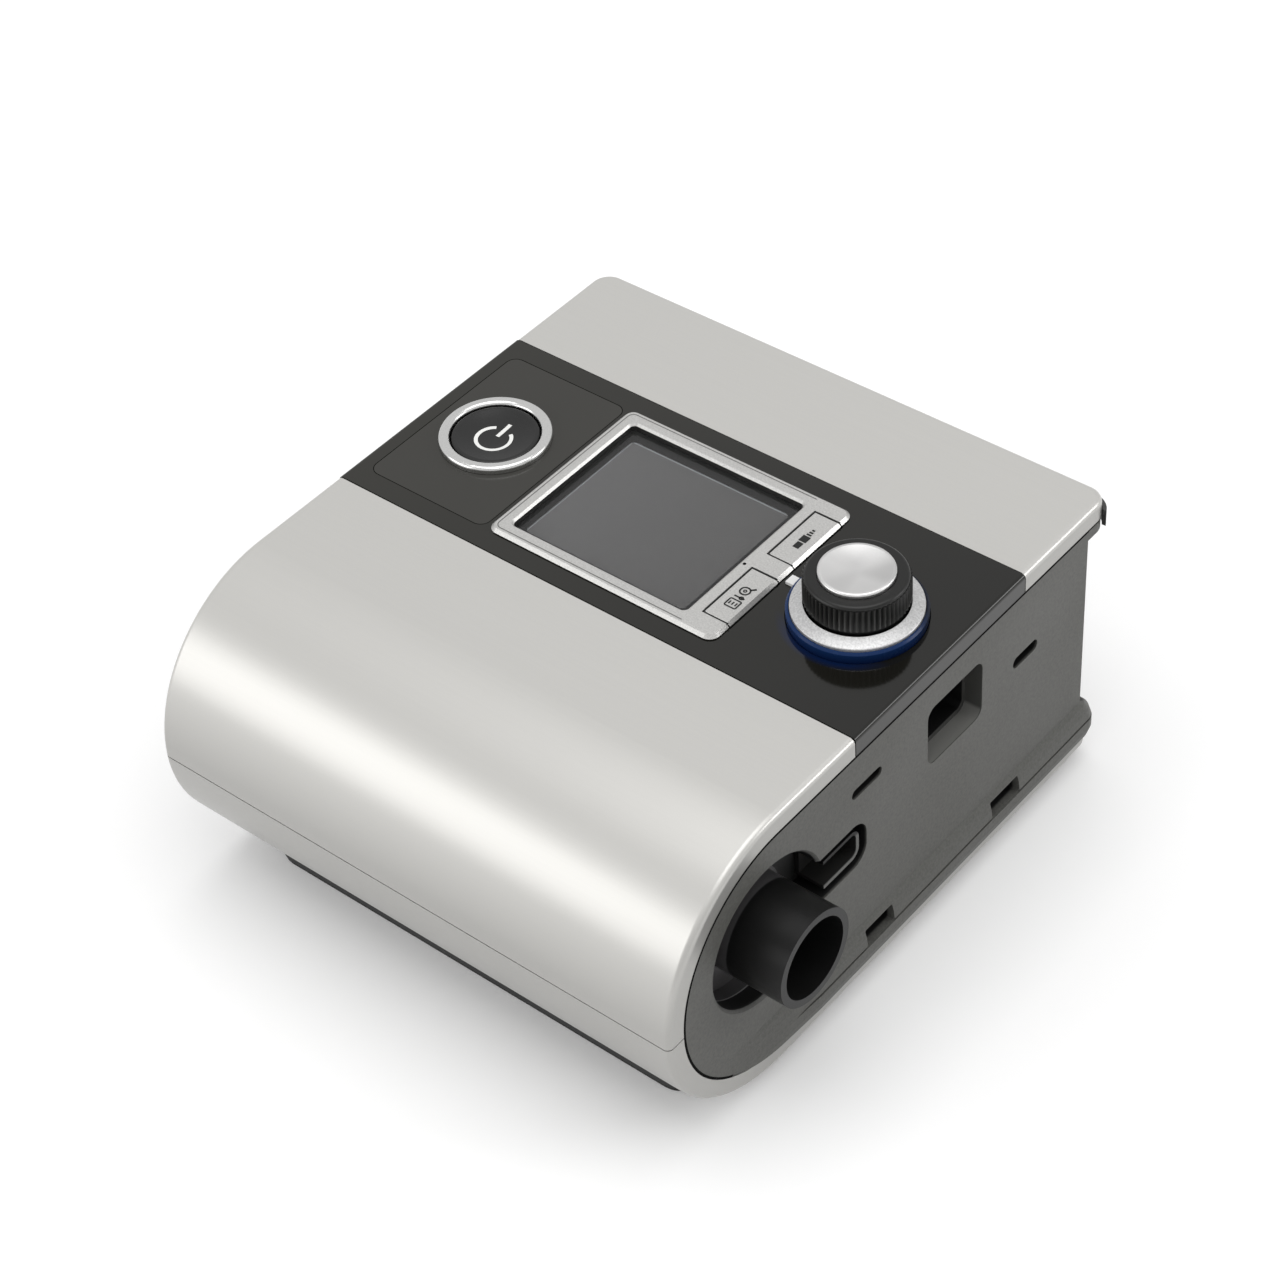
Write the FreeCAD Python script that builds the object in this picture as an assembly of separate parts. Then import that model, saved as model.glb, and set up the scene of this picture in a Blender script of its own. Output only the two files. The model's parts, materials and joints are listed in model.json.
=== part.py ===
"""Bedside CPAP machine, in millimetres.

The frame: X to the machine's right (the side of the air outlet), Y to its rear, Z up.
The origin is on the surface that the machine stands on, at the centre of the casing.
Every node is one physical piece, or a group of identical ones, written to parts/NODE.step.
"""
import FreeCAD
import Part
import math
import os

V = FreeCAD.Vector
AXES = {"x": V(1, 0, 0), "y": V(0, 1, 0), "z": V(0, 0, 1)}

# ---- casing ----
BODY_WIDTH = 138.4
TOP_HEIGHT = 73.6
UNDERSIDE_HEIGHT = 3.0
FRONT_REACH = 76.5
NOSE_RADIUS = 35.7
TOP_REAR_REACH = 75.4
BASE_SETBACK = 3.0
REAR_OVERHANG = 8.1
SKIN = 2.2
EDGE_RADIUS = 1.4
BAND_EDGE_RADIUS = 1.0
TOP_CORNER_RADIUS = 4.6
BASE_CORNER_RADIUS = 4.0
TOP_STRIP = 4.65
NOSE_STRIP = 4.6
BASE_STRIP = 4.6
SEAM = 0.3
RIM_GAP = 0.5
TONGUE = 1.2
TONGUE_REACH = 4.0

# ---- side and rear panels ----
PANEL = 2.4
RABBET = 2.0
RABBET_WIDTH = 4.0
FLANGE_SIDE = 1.6
FLANGE_REAR = 5.6
FLANGE_RISE = 10.4
FLANGE_CORNER = 4.0
FLANGE_START = -34.0
FLANGE_TAPER = 24.0
GROOVE_DEPTH = 0.5
GROOVE_HEIGHT = 0.6
SHELF_THICKNESS = 2.5
TRIM_GAP = 0.15
TRIM_THICKNESS = 0.9
TRIM_HEIGHT = 4.2
TRIM_DROP = 3.1
TRIM_CORNER_WRAP = 3.4

# ---- air outlet and its recess in the right panel ----
OUTLET_Y = -44.6
OUTLET_DROP = 29.8
OUTLET_RADIUS = 11.0
OUTLET_BORE = 9.2
OUTLET_REACH = 11.3
ROOT_STEP = 0.8
ROOT_RISE = 1.5
RECESS_RADIUS = 17.3
RECESS_DEPTH = 8.0
RECESS_CHAMFER = 0.6
POCKET_WALL = 1.8
SPIGOT_RADIUS = 10.0
SPIGOT_LENGTH = 13.0
OUTLET_FLANGE_RADIUS = 13.4
OUTLET_FLANGE = 2.2
GASKET = 1.2

# ---- humidifier connector slot, latch and locating pockets in the right panel ----
CONNECTOR_END_Y = -12.1
CONNECTOR_DROP = 30.0
CONNECTOR_HEIGHT = 12.0
CONNECTOR_CORNER = 4.6
SHROUD_INSET = 2.0
SHROUD_WALL = 0.9
SHROUD_DEPTH = 0.5
SHROUD_START_Y = -26.0
PIN_RADIUS = 0.6
PIN_LENGTH = 2.0
PIN_PITCH = 2.6
PIN_COUNT = 3
LATCH_Y = 18.8
LATCH_DROP = 20.1
LATCH_WIDTH = 19.4
LATCH_HEIGHT = 15.9
LATCH_DEPTH = 4.3
LATCH_CORNER = 2.6
LATCH_INNER_DEPTH = 5.7
LATCH_INNER_WIDTH = 17.4
LATCH_INNER_HEIGHT = 13.9
SLOT_Y = (-11.8, 44.4)
SLOT_DROP = (15.1, 22.9)
SLOT_LENGTH = (10.0, 9.0)
SLOT_HEIGHT = (2.6, 3.0)
SLOT_DEPTH = 4.0
NOTCH_Y = (-9.4, 36.5)
NOTCH_LENGTH = (9.5, 10.4)
NOTCH_BOTTOM = 12.4
NOTCH_HEIGHT = 4.6
NOTCH_DEPTH = 5.0

# ---- control band on top ----
BAND_CENTRE_Y = 14.1
BAND_DEPTH = 58.95
INLAY_CENTRE_X = -48.8
INLAY_WIDTH = 32.8
INLAY_DEPTH = 48.2
INLAY_THICKNESS = 0.8
INLAY_CORNER = 2.5
INLAY_GAP = 0.2

# ---- display ----
DISPLAY_X = -0.8
FRAME_WIDTH = 60.7
FRAME_DEPTH = 48.6
FRAME_CORNER = 2.5
FRAME_RISE = 1.0
FRAME_BEVEL = 0.7
FRAME_LIP = 1.3
FRAME_SKIRT = 3.4
WINDOW_LEFT = -27.4
WINDOW_RIGHT = 19.5
WINDOW_DEPTH = 40.8
WINDOW_CORNER = 1.2
WINDOW_BEVEL = 0.5
BEZEL_DEPTH = 1.7
LENS_LAND = 1.0
LENS_THICKNESS = 0.9
MASK_THICKNESS = 0.15
MASK_SIDE = 2.0
MASK_FRONT = 1.7
MASK_REAR = 2.7

# ---- keys beside the display ----
KEY_LEFT = 22.8
KEY_DEPTH = 16.2
KEY_OFFSET = 10.85
KEY_THICKNESS = 3.3
KEY_TRAVEL = 0.5
KEY_CLEARANCE = 0.3
KEY_SWITCH_SIZE = 5.0
KEY_SWITCH_HEIGHT = 4.4
KEY_PLUNGER_RADIUS = 1.2

# ---- power button ----
BUTTON_X = -49.7
RING_OUTER_RADIUS = 12.6
RING_INNER_RADIUS = 10.1
RING_SKIRT_RADIUS = 11.4
RING_RISE = 1.7
RING_SKIRT = 3.4
RING_ROUNDING = 0.8
BUTTON_CLEARANCE = 0.3
BUTTON_RISE = 1.0
BUTTON_DISH = 0.9
BUTTON_FLANGE = 1.0
BUTTON_WALL = 1.8
BUTTON_POST_RADIUS = 2.2
BUTTON_TRAVEL = 0.8
POWER_SWITCH_SIZE = 7.0
POWER_SWITCH_HEIGHT = 2.9
POWER_PLUNGER_RADIUS = 1.8

# ---- dial ----
DIAL_X = 48.1
LIGHT_RING_WALL = 0.7
LIGHT_RING_RISE = 2.4
LIGHT_RING_BEVEL = 0.4
BASE_RING_RADIUS = 13.9
BASE_RING_INNER = 11.2
BASE_RING_RISE = 3.0
BASE_RING_CONE = 1.0
BASE_RING_ROUNDING = 0.3
BASE_RING_SKIRT = 3.1
BASE_RING_WEB = 1.2
KNOB_RADIUS = 11.2
KNOB_SHOULDER = 0.8
KNOB_HEIGHT = 12.1
KNOB_GAP = 0.3
KNOB_SKIRT_INSET = 0.5
KNURL_COUNT = 60
KNURL_DEPTH = 0.35
CAP_RADIUS = 8.1
CAP_RISE = 1.1
CAP_SEAT = 1.4
CAP_DISH = 0.8
CAP_ROUNDING = 0.5
SHAFT_RADIUS = 3.0
COLLAR_RADIUS = 4.2
RUNNING_FIT = 0.05
DIAL_TRAVEL = 0.8
ENCODER_SIZE = 12.0
ENCODER_HEIGHT = 6.2
ENCODER_FLOOR = 1.8
MARKER_LENGTH = 2.4
MARKER_WIDTH = 2.5
MARKER_RISE = 0.7

# ---- boards and inner frame ----
BOARD = 1.6
BOARD_DROP = 10.0
BOARD_LEFT = -62.0
BOARD_RIGHT = 55.6
BOARD_DEPTH = 52.5
DECK = 2.0
DECK_DROP = 15.0
DECK_LEFT = -64.6
DECK_RIGHT = 62.4
DECK_FRONT = -58.0
DECK_SETBACK = 2.9
DECK_EYE_RADIUS = 14.5
LEG_RADIUS = 4.0
LEG_X = (-58.0, -58.0, 58.4, 58.4)
LEG_Y = (-20.0, 28.0, -1.5)
REAR_LEG_INSET = 2.0
LEG_SEAT = 4.2
POST_RADIUS = 3.5
COVER_POST_X = (-45.0, 40.0)
FRONT_POST_Y = -34.0
REAR_POST_INSET = 6.0
BOARD_FIX_X = (-59.0, 52.0)
BOARD_FIX_OFFSET = 22.5
BOARD_FIX_RADIUS = 2.5
BOARD_SCREW_RADIUS = 1.0
BOARD_SCREW_HEAD = 2.1
BOARD_SCREW_HEAD_HEIGHT = 1.5
SCREW_RADIUS = 1.5
SCREW_HEAD_RADIUS = 2.9
SCREW_HEAD = 2.0
SCREW_RECESS = 0.3
SCREW_GRIP = 6.5
CLEAR = 0.15

# ---- blower ----
BLOWER_X = -12.0
VOLUTE_RADIUS = 28.0
VOLUTE_HEIGHT = 22.0
VOLUTE_WALL = 1.8
SPOUT_WALL = 1.6
SPOUT_REACH = 48.5
EYE_RADIUS = 12.0
EYE_COLLAR = 1.6
IMPELLER_RADIUS = 22.0
IMPELLER_HEIGHT = 11.0
IMPELLER_DISC = 1.5
BLADE_COUNT = 11
BLADE_WALL = 1.2
BLADE_SWEEP = 40.0
HUB_RADIUS = 5.0
HUB_HEIGHT = 9.0
ROTOR_SHAFT_RADIUS = 2.0
MOTOR_RADIUS = 16.0
MOTOR_WALL = 1.5
BEARING_RADIUS = 5.0
BEARING_HEIGHT = 3.0
BEARING_SEAT_WALL = 2.2
STATOR_RADIUS = 14.2
STATOR_INNER = 8.8
STATOR_GAP = 1.65
MAGNET_RADIUS = 8.3
BLOWER_MOUNT_RADIUS = 3.6
BLOWER_MOUNT_CIRCLE = 11.0
BLOWER_MOUNT_COUNT = 3
BLOWER_MOUNT_HEIGHT = 4.5
BLOWER_PAD_HEIGHT = 3.0
BELLOWS_WALL = 1.2
BELLOWS_RIDGE = 1.1
BELLOWS_RIDGE_COUNT = 3
BELLOWS_OVERLAP = 5.0

# ---- filter, inlet duct and rear ports ----
FILTER_X = -42.0
FILTER_DROP = 36.6
FILTER_WIDTH = 36.0
FILTER_HEIGHT = 30.0
FILTER_PAD = 4.6
COVER_THICKNESS = 1.8
COVER_GAP = 0.3
COVER_BARREL = 1.2
COVER_PIN_RADIUS = 0.8
COVER_PIN_REACH = 1.4
LOUVRE_COUNT = 6
LOUVRE_HEIGHT = 1.8
LOUVRE_MARGIN = 4.5
DUCT_WALL = 1.6
DUCT_LENGTH = 24.0
DUCT_MARGIN = 2.0
FOAM_LENGTH = 13.0
FOAM_GAP = 3.0
FOAM_SLOT = 9.0
MODULE_X = -6.0
MODULE_DROP = 38.6
MODULE_WIDTH = 18.0
MODULE_HEIGHT = 20.0
MODULE_POCKET = 8.0
MODULE_PLUG_WIDTH = 11.0
MODULE_PLUG_HEIGHT = 5.0
DC_X = 14.0
DC_Z = 30.0
DC_RADIUS = 6.0
DC_BORE = 3.6
DC_LENGTH = 13.0
DC_DEPTH = 9.0
AC_X = 35.0
AC_Z = 30.0
AC_WIDTH = 20.0
AC_HEIGHT = 12.4
AC_LENGTH = 16.0
AC_DEPTH = 11.0
AC_LOBE_RADIUS = 4.1
AC_LOBE_PITCH = 8.2
AC_PIN_RADIUS = 1.2
AC_PIN_LENGTH = 8.5
PORT_FLANGE = 1.2
PORT_FLANGE_RIM = 1.8

# ---- power supply ----
SUPPLY_LEFT = 8.0
SUPPLY_RIGHT = 53.0
SUPPLY_DEPTH = 42.0
SUPPLY_SETBACK = 19.3
SUPPLY_HEIGHT = 12.0
SUPPLY_POST_RADIUS = 3.0
TRANSFORMER_WIDTH = 22.0
TRANSFORMER_HEIGHT = 18.0
CAPACITOR_RADIUS = 6.0
CAPACITOR_HEIGHT = 22.0
CAPACITOR_PITCH = 14.0
CAPACITOR_EDGE = 3.0
COMPONENT_GAP = 3.0
HEATSINK_LENGTH = 34.0
HEATSINK_HEIGHT = 20.0
HEATSINK_BASE = 2.0
FIN_LENGTH = 5.0
FIN_WALL = 1.2
FIN_COUNT = 7

# ---- plinth and feet ----
PLINTH_WIDTH = 118.0
PLINTH_FRONT = -60.9
PLINTH_REAR = 58.0
PLINTH_CORNER = 6.0
PLINTH_LIFT = 0.8
FOOT_RADIUS = 7.0
FOOT_INSET = 14.0
FOOT_HEIGHT = 1.8

# ---- worked out from the sizes above ----
HALF = BODY_WIDTH / 2
REAR_WALL_REACH = TOP_REAR_REACH - REAR_OVERHANG
BASE_REAR_REACH = TOP_REAR_REACH - BASE_SETBACK
OUTLET_Z = TOP_HEIGHT - OUTLET_DROP
CONNECTOR_Z = TOP_HEIGHT - CONNECTOR_DROP
LATCH_Z = TOP_HEIGHT - LATCH_DROP
SLOT_Z = [TOP_HEIGHT - drop for drop in SLOT_DROP]
FILTER_Z = TOP_HEIGHT - FILTER_DROP
MODULE_Z = TOP_HEIGHT - MODULE_DROP
SEAM_HEIGHT = TOP_HEIGHT - NOSE_RADIUS
BAND_FRONT = BAND_CENTRE_Y - BAND_DEPTH / 2
BAND_REAR = BAND_CENTRE_Y + BAND_DEPTH / 2
STRIP_BOTTOM = TOP_HEIGHT - TOP_STRIP
FLANGE_BOTTOM = UNDERSIDE_HEIGHT + BASE_STRIP + RIM_GAP
PANEL_TOP = TOP_HEIGHT - TOP_STRIP - RIM_GAP
INNER_TOP = TOP_HEIGHT - SKIN
FLOOR = UNDERSIDE_HEIGHT + SKIN
RECESS_BACK = HALF - RECESS_DEPTH
POCKET_BACK = RECESS_BACK - POCKET_WALL
BOARD_TOP = TOP_HEIGHT - BOARD_DROP
BOARD_BOTTOM = BOARD_TOP - BOARD
DECK_TOP = TOP_HEIGHT - DECK_DROP
DECK_BOTTOM = DECK_TOP - DECK
SHELF_TOP = PANEL_TOP - 0.3
FRAME_TOP = TOP_HEIGHT + FRAME_RISE
FRAME_RIGHT = DISPLAY_X + FRAME_WIDTH / 2
LENS_TOP = FRAME_TOP - BEZEL_DEPTH - CLEAR / 2
LENS_BOTTOM = LENS_TOP - LENS_THICKNESS
MASK_BOTTOM = LENS_BOTTOM - MASK_THICKNESS
KEY_BOTTOM = FRAME_TOP - KEY_THICKNESS
RING_BOTTOM = TOP_HEIGHT - RING_SKIRT
BUTTON_FLANGE_TOP = RING_BOTTOM - BUTTON_CLEARANCE
BUTTON_BOTTOM = BUTTON_FLANGE_TOP - BUTTON_FLANGE
LIGHT_RING_RADIUS = BASE_RING_RADIUS + CLEAR + LIGHT_RING_WALL
DIAL_WEB_BOTTOM = TOP_HEIGHT - BASE_RING_SKIRT
KNOB_BOTTOM = DIAL_WEB_BOTTOM + BASE_RING_WEB + DIAL_TRAVEL + KNOB_GAP
KNURL_BOTTOM = TOP_HEIGHT + BASE_RING_RISE + BASE_RING_CONE + DIAL_TRAVEL + KNOB_GAP
KNOB_TOP = KNOB_BOTTOM + KNOB_HEIGHT
ENCODER_TOP = BOARD_TOP + CLEAR / 2 + ENCODER_HEIGHT
VOLUTE_BOTTOM = OUTLET_Z - VOLUTE_HEIGHT / 2
VOLUTE_TOP = OUTLET_Z + VOLUTE_HEIGHT / 2
BLOWER_Y = OUTLET_Y + VOLUTE_RADIUS - SPIGOT_RADIUS
MOTOR_BOTTOM = FLOOR + BLOWER_PAD_HEIGHT + BLOWER_MOUNT_HEIGHT + CLEAR
MOTOR_HEIGHT = VOLUTE_BOTTOM - CLEAR - MOTOR_BOTTOM
STATOR_BOTTOM = MOTOR_BOTTOM + MOTOR_WALL + BEARING_HEIGHT + 1.2
STATOR_HEIGHT = VOLUTE_BOTTOM - BEARING_HEIGHT - 0.2 - STATOR_GAP - STATOR_BOTTOM
SPIGOT_START = POCKET_BACK - GASKET - OUTLET_FLANGE - SPIGOT_LENGTH
SPOUT_END = BLOWER_X + SPOUT_REACH
WALL_INNER = REAR_WALL_REACH - PANEL
DECK_REAR = WALL_INNER - DECK_SETBACK
REAR_POST_Y = DECK_REAR - REAR_POST_INSET
SUPPLY_REAR = REAR_WALL_REACH - SUPPLY_SETBACK
SUPPLY_FRONT = SUPPLY_REAR - SUPPLY_DEPTH


# ---- shapes ----
def box(x0, x1, y0, y1, z0, z1):
    """Block between two corners."""
    return Part.makeBox(x1 - x0, y1 - y0, z1 - z0, V(x0, y0, z0))


def rod(axis, x, y, z, radius, length):
    """Cylinder that starts at a point and runs along an axis."""
    return Part.makeCylinder(radius, length, V(x, y, z), AXES[axis])


def pipe(axis, x, y, z, outer, inner, length):
    """Cylinder with a bore right through it."""
    step = AXES[axis]
    start = V(x, y, z) - step
    bore = Part.makeCylinder(inner, length + 2, start, step)
    return rod(axis, x, y, z, outer, length).cut(bore)


def fuse(shapes):
    """One solid from several that overlap."""
    return shapes[0].multiFuse(shapes[1:]).removeSplitter()


def cut(shape, tools):
    """The shape less every tool."""
    return shape.cut(Part.makeCompound(tools)) if len(tools) == 1 else shape.cut(tools)


def lines(points):
    """Closed wire through points."""
    return Part.makePolygon(points + [points[0]])


def rounded_wire(x0, x1, y0, y1, z, radius):
    """Rectangle with round corners, seen from above."""
    k = radius * (1 - math.sqrt(0.5))
    corners = [(x1, y0, 1, -1), (x1, y1, 1, 1), (x0, y1, -1, 1), (x0, y0, -1, -1)]
    edges = []
    ends = []
    for x, y, sx, sy in corners:
        along_x = V(x - sx * radius, y, z)
        along_y = V(x, y - sy * radius, z)
        middle = V(x - sx * k, y - sy * k, z)
        first, last = (along_x, along_y) if sx * sy < 0 else (along_y, along_x)
        ends.append((first, middle, last))
    for i, (first, middle, last) in enumerate(ends):
        edges.append(Part.Arc(first, middle, last).toShape())
        edges.append(Part.makeLine(last, ends[(i + 1) % 4][0]))
    return Part.Wire(edges)


def slab(x0, x1, y0, y1, z0, z1, radius):
    """Plate with round corners, seen from above."""
    return Part.Face(rounded_wire(x0, x1, y0, y1, z0, radius)).extrude(V(0, 0, z1 - z0))


def side_slab(x0, x1, y0, y1, z0, z1, radius):
    """Plate with round corners, seen from the right."""
    flat = slab(y0, y1, z0, z1, x0, x1, radius)
    flat.rotate(V(0, 0, 0), V(1, 1, 1), 120)
    return flat


def rear_slab(x0, x1, y0, y1, z0, z1, radius):
    """Plate with round corners, seen from the rear."""
    flat = slab(x0, x1, z0, z1, -y1, -y0, radius)
    flat.rotate(V(0, 0, 0), AXES["x"], 90)
    return flat


def revolve(points, x, y):
    """Solid turned about a vertical axis from points given as radius and height."""
    face = Part.Face(lines([V(x + r, y, z) for r, z in points]))
    return face.revolve(V(x, y, 0), AXES["z"], 360)


def bevel(shape, distance, chosen):
    """Chamfer on the edges that the test chooses."""
    return shape.makeChamfer(distance, [e for e in shape.Edges if chosen(e)])


def rounding(shape, radius, chosen):
    """Fillet on the edges that the test chooses."""
    return shape.makeFillet(radius, [e for e in shape.Edges if chosen(e)])


def at_height(z):
    """Test for edges that lie level at a height."""
    return lambda e: abs(e.BoundBox.ZMin - z) < 1e-4 and abs(e.BoundBox.ZMax - z) < 1e-4


# ---- casing outline ----
def casing_block(half, top, front, bottom, rear):
    """Side outline of the casing, inset by three amounts and run across the width."""
    z_top = TOP_HEIGHT - top
    z_bottom = UNDERSIDE_HEIGHT + bottom
    y_front = -FRONT_REACH + front
    upper = z_top - SEAM_HEIGHT
    lower = SEAM_HEIGHT - z_bottom
    diagonal = math.sqrt(0.5)
    nose = V(-half, y_front, SEAM_HEIGHT)
    top_start = V(-half, y_front + upper, z_top)
    top_middle = V(-half, y_front + upper * (1 - diagonal), SEAM_HEIGHT + upper * diagonal)
    low_start = V(-half, y_front + lower, z_bottom)
    low_middle = V(-half, y_front + lower * (1 - diagonal), SEAM_HEIGHT - lower * diagonal)
    top_end = V(-half, rear, z_top)
    low_end = V(-half, rear, z_bottom)
    wire = Part.Wire([
        Part.Arc(nose, top_middle, top_start).toShape(),
        Part.makeLine(top_start, top_end),
        Part.makeLine(top_end, low_end),
        Part.makeLine(low_end, low_start),
        Part.Arc(low_start, low_middle, nose).toShape(),
    ])
    return Part.Face(wire).extrude(V(2 * half, 0, 0))


def rounded_casing(rear, corner):
    """Outer casing block with its rear corners and its rim rounded."""
    block = casing_block(HALF, 0, 0, 0, rear)

    def upright_corner(e):
        b = e.BoundBox
        return b.XLength < 1e-4 and b.YLength < 1e-4 and b.YMin > rear - 1e-3

    block = rounding(block, corner, upright_corner)

    def rim(e):
        b = e.BoundBox
        upright = b.XLength < 1e-4 and b.YLength < 1e-4
        on_side = b.XLength < 1e-4 and abs(abs(b.XMin) - HALF) < 1e-3
        at_rear = b.YMin > rear - corner - 1e-3 and b.ZLength < 1e-4
        return not upright and (on_side or at_rear)

    return rounding(block, EDGE_RADIUS, rim)


def skin(rear, corner):
    """Outer shell that wraps a little way round both sides."""
    cavity = casing_block(HALF - SKIN, SKIN, SKIN, SKIN, rear - SKIN)
    window = casing_block(HALF + 10, TOP_STRIP, NOSE_STRIP, BASE_STRIP, rear + 10)
    return cut(rounded_casing(rear, corner), [cavity, window])


def room(y0, y1, z0, z1):
    """Block that is wider than the machine."""
    return box(-HALF - 20, HALF + 20, y0, y1, z0, z1)


def front_cover():
    """Silver cover over the front, down to the seam on the nose."""
    part = skin(TOP_REAR_REACH, TOP_CORNER_RADIUS)
    part = part.common(room(-200, BAND_FRONT - SEAM / 2, SEAM_HEIGHT + SEAM / 2, 200))
    pads = []
    for x in COVER_POST_X:
        pads.append(rod("z", x, FRONT_POST_Y, INNER_TOP - 1.5, POST_RADIUS, 1.5 + SKIN / 2))
    return fuse([part] + pads)


def rear_cover():
    """Silver plate over the rear, with its edge turned down on three sides."""
    part = skin(TOP_REAR_REACH, TOP_CORNER_RADIUS)
    part = part.common(room(BAND_REAR + SEAM / 2, 200, SEAM_HEIGHT, 200))
    pads = []
    for x in COVER_POST_X:
        pads.append(rod("z", x, REAR_POST_Y, INNER_TOP - 1.5, POST_RADIUS, 1.5 + SKIN / 2))
    return fuse([part] + pads)


def leg_places():
    """Centres of the four legs of the inner frame."""
    return list(zip(LEG_X, LEG_Y + (DECK_REAR - REAR_LEG_INSET,)))


def blower_mount_places():
    """Centres of the rubber mounts under the blower."""
    places = []
    for i in range(BLOWER_MOUNT_COUNT):
        angle = math.radians(90 + 360 / BLOWER_MOUNT_COUNT * i)
        x = BLOWER_X + BLOWER_MOUNT_CIRCLE * math.cos(angle)
        y = BLOWER_Y + BLOWER_MOUNT_CIRCLE * math.sin(angle)
        places.append((x, y))
    return places


def supply_post_places():
    """Centres of the posts under the power supply board."""
    inset = SUPPLY_POST_RADIUS + 1
    xs = (SUPPLY_LEFT + inset, SUPPLY_RIGHT - inset)
    ys = (SUPPLY_FRONT + inset, SUPPLY_REAR - inset)
    return [(x, y) for x in xs for y in ys]


def base_shell():
    """Silver lower casing: floor, lower nose and a low wall round the sides and rear."""
    part = skin(BASE_REAR_REACH, BASE_CORNER_RADIUS)
    part = part.common(room(-200, 200, 0, SEAM_HEIGHT - SEAM / 2))
    half = HALF - SKIN - RABBET - 1
    behind = casing_block(half + 1, SKIN + CLEAR + TONGUE, SKIN + CLEAR + TONGUE, SKIN + CLEAR + TONGUE, 200)
    low = casing_block(half, SKIN - 0.5, SKIN - 0.5, SKIN - 0.5, 200).cut(behind)
    low = low.common(room(-200, -40, SEAM_HEIGHT - TONGUE_REACH, SEAM_HEIGHT - SEAM / 2))
    high = casing_block(half, SKIN + CLEAR, SKIN + CLEAR, SKIN + CLEAR, 200).cut(behind)
    high = high.common(room(-200, -40, SEAM_HEIGHT - TONGUE_REACH, SEAM_HEIGHT + TONGUE_REACH))
    adds = [low, high]
    holes = []
    for x, y in leg_places():
        adds.append(rod("z", x, y, FLOOR - 0.5, LEG_RADIUS + 0.8, LEG_SEAT + 0.5))
        holes.append(rod("z", x, y, 0, SCREW_HEAD_RADIUS + 0.2, UNDERSIDE_HEIGHT + SCREW_RECESS + SCREW_HEAD + 0.1))
        holes.append(rod("z", x, y, 0, SCREW_RADIUS + 0.2, 40))
    for x, y in blower_mount_places():
        adds.append(rod("z", x, y, FLOOR - 0.5, BLOWER_MOUNT_RADIUS + 1, BLOWER_PAD_HEIGHT + 0.5))
    for x, y in supply_post_places():
        height = SUPPLY_HEIGHT - CLEAR / 2 - FLOOR
        adds.append(rod("z", x, y, FLOOR - 0.5, SUPPLY_POST_RADIUS, height + 0.5))
    return cut(fuse([part] + adds), holes)


def plinth():
    """Dark base plate that carries the rubber pads."""
    plate = slab(-PLINTH_WIDTH / 2, PLINTH_WIDTH / 2, PLINTH_FRONT, PLINTH_REAR,
                 PLINTH_LIFT, SEAM_HEIGHT, PLINTH_CORNER)
    above = casing_block(HALF, 0, -CLEAR, -CLEAR, 200)
    pockets = [rod("z", x, y, 0, FOOT_RADIUS + CLEAR, FOOT_HEIGHT + CLEAR / 2) for x, y in foot_places()]
    return cut(plate, [above, room(-200, 200, SEAM_HEIGHT - 1, 200)] + pockets)


def foot_places():
    """Centres of the rubber pads: four at the corners and one in the middle."""
    x = PLINTH_WIDTH / 2 - FOOT_INSET
    front = PLINTH_FRONT + FOOT_INSET
    rear = PLINTH_REAR - FOOT_INSET
    return [(-x, front), (x, front), (-x, rear), (x, rear), (0, 0)]


def rubber_feet():
    """Rubber pads that the machine stands on."""
    return [rod("z", x, y, 0, FOOT_RADIUS, FOOT_HEIGHT) for x, y in foot_places()]


# ---- side and rear panels ----
def flange():
    """Moulded skirt that swells outwards at the foot of the side and rear panels."""
    levels = [(0.0, 0.82, 1.0), (1.6, 1.0, 1.0), (4.2, 1.0, 1.0), (7.1, 0.8, 0.9), (9.2, 0.45, 0.6),
              (FLANGE_RISE, 0.0, 0.2)]
    wires = []
    for rise, swell, roundness in levels:
        half = HALF + FLANGE_SIDE * swell
        rear = REAR_WALL_REACH + FLANGE_REAR * swell
        z = FLANGE_BOTTOM + rise
        wires.append(rounded_wire(-half, half, FLANGE_START, rear, z, FLANGE_CORNER * roundness))
    ring = Part.makeLoft(wires, True, True)
    tapers = [ring]
    for side in (-1, 1):
        ends = []
        for y, share in ((FLANGE_START - FLANGE_TAPER, 0.02), (FLANGE_START + FLANGE_CORNER, 1.0)):
            inner = V(side * (HALF - 1), y, FLANGE_BOTTOM)
            outline = [inner]
            for rise, swell, _ in levels:
                out = side * (HALF + FLANGE_SIDE * swell * share)
                outline.append(V(out, y, FLANGE_BOTTOM + rise))
            outline.append(V(side * (HALF - 1), y, FLANGE_BOTTOM + FLANGE_RISE))
            ends.append(lines(outline))
        tapers.append(Part.makeLoft(ends, True, True))
    return fuse(tapers)


def mid_body():
    """Outside shape that the side panels and the rear panel are parts of."""
    block = casing_block(HALF, TOP_STRIP + RIM_GAP, NOSE_STRIP + RIM_GAP, BASE_STRIP + RIM_GAP, REAR_WALL_REACH)
    bounds = casing_block(HALF + 10, TOP_STRIP + RIM_GAP, NOSE_STRIP + RIM_GAP, BASE_STRIP + RIM_GAP, 200)
    whole = fuse([block, flange().common(bounds)])
    groove_z = FLANGE_BOTTOM + 4.2
    groove = box(-200, 200, FLANGE_START - FLANGE_TAPER / 2, 200, groove_z, groove_z + GROOVE_HEIGHT)
    half = HALF + FLANGE_SIDE - GROOVE_DEPTH
    rear = REAR_WALL_REACH + FLANGE_REAR - GROOVE_DEPTH
    core = slab(-half, half, -200, rear, groove_z - 1, groove_z + 2, FLANGE_CORNER)
    return whole.cut(groove.cut(core))


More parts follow.
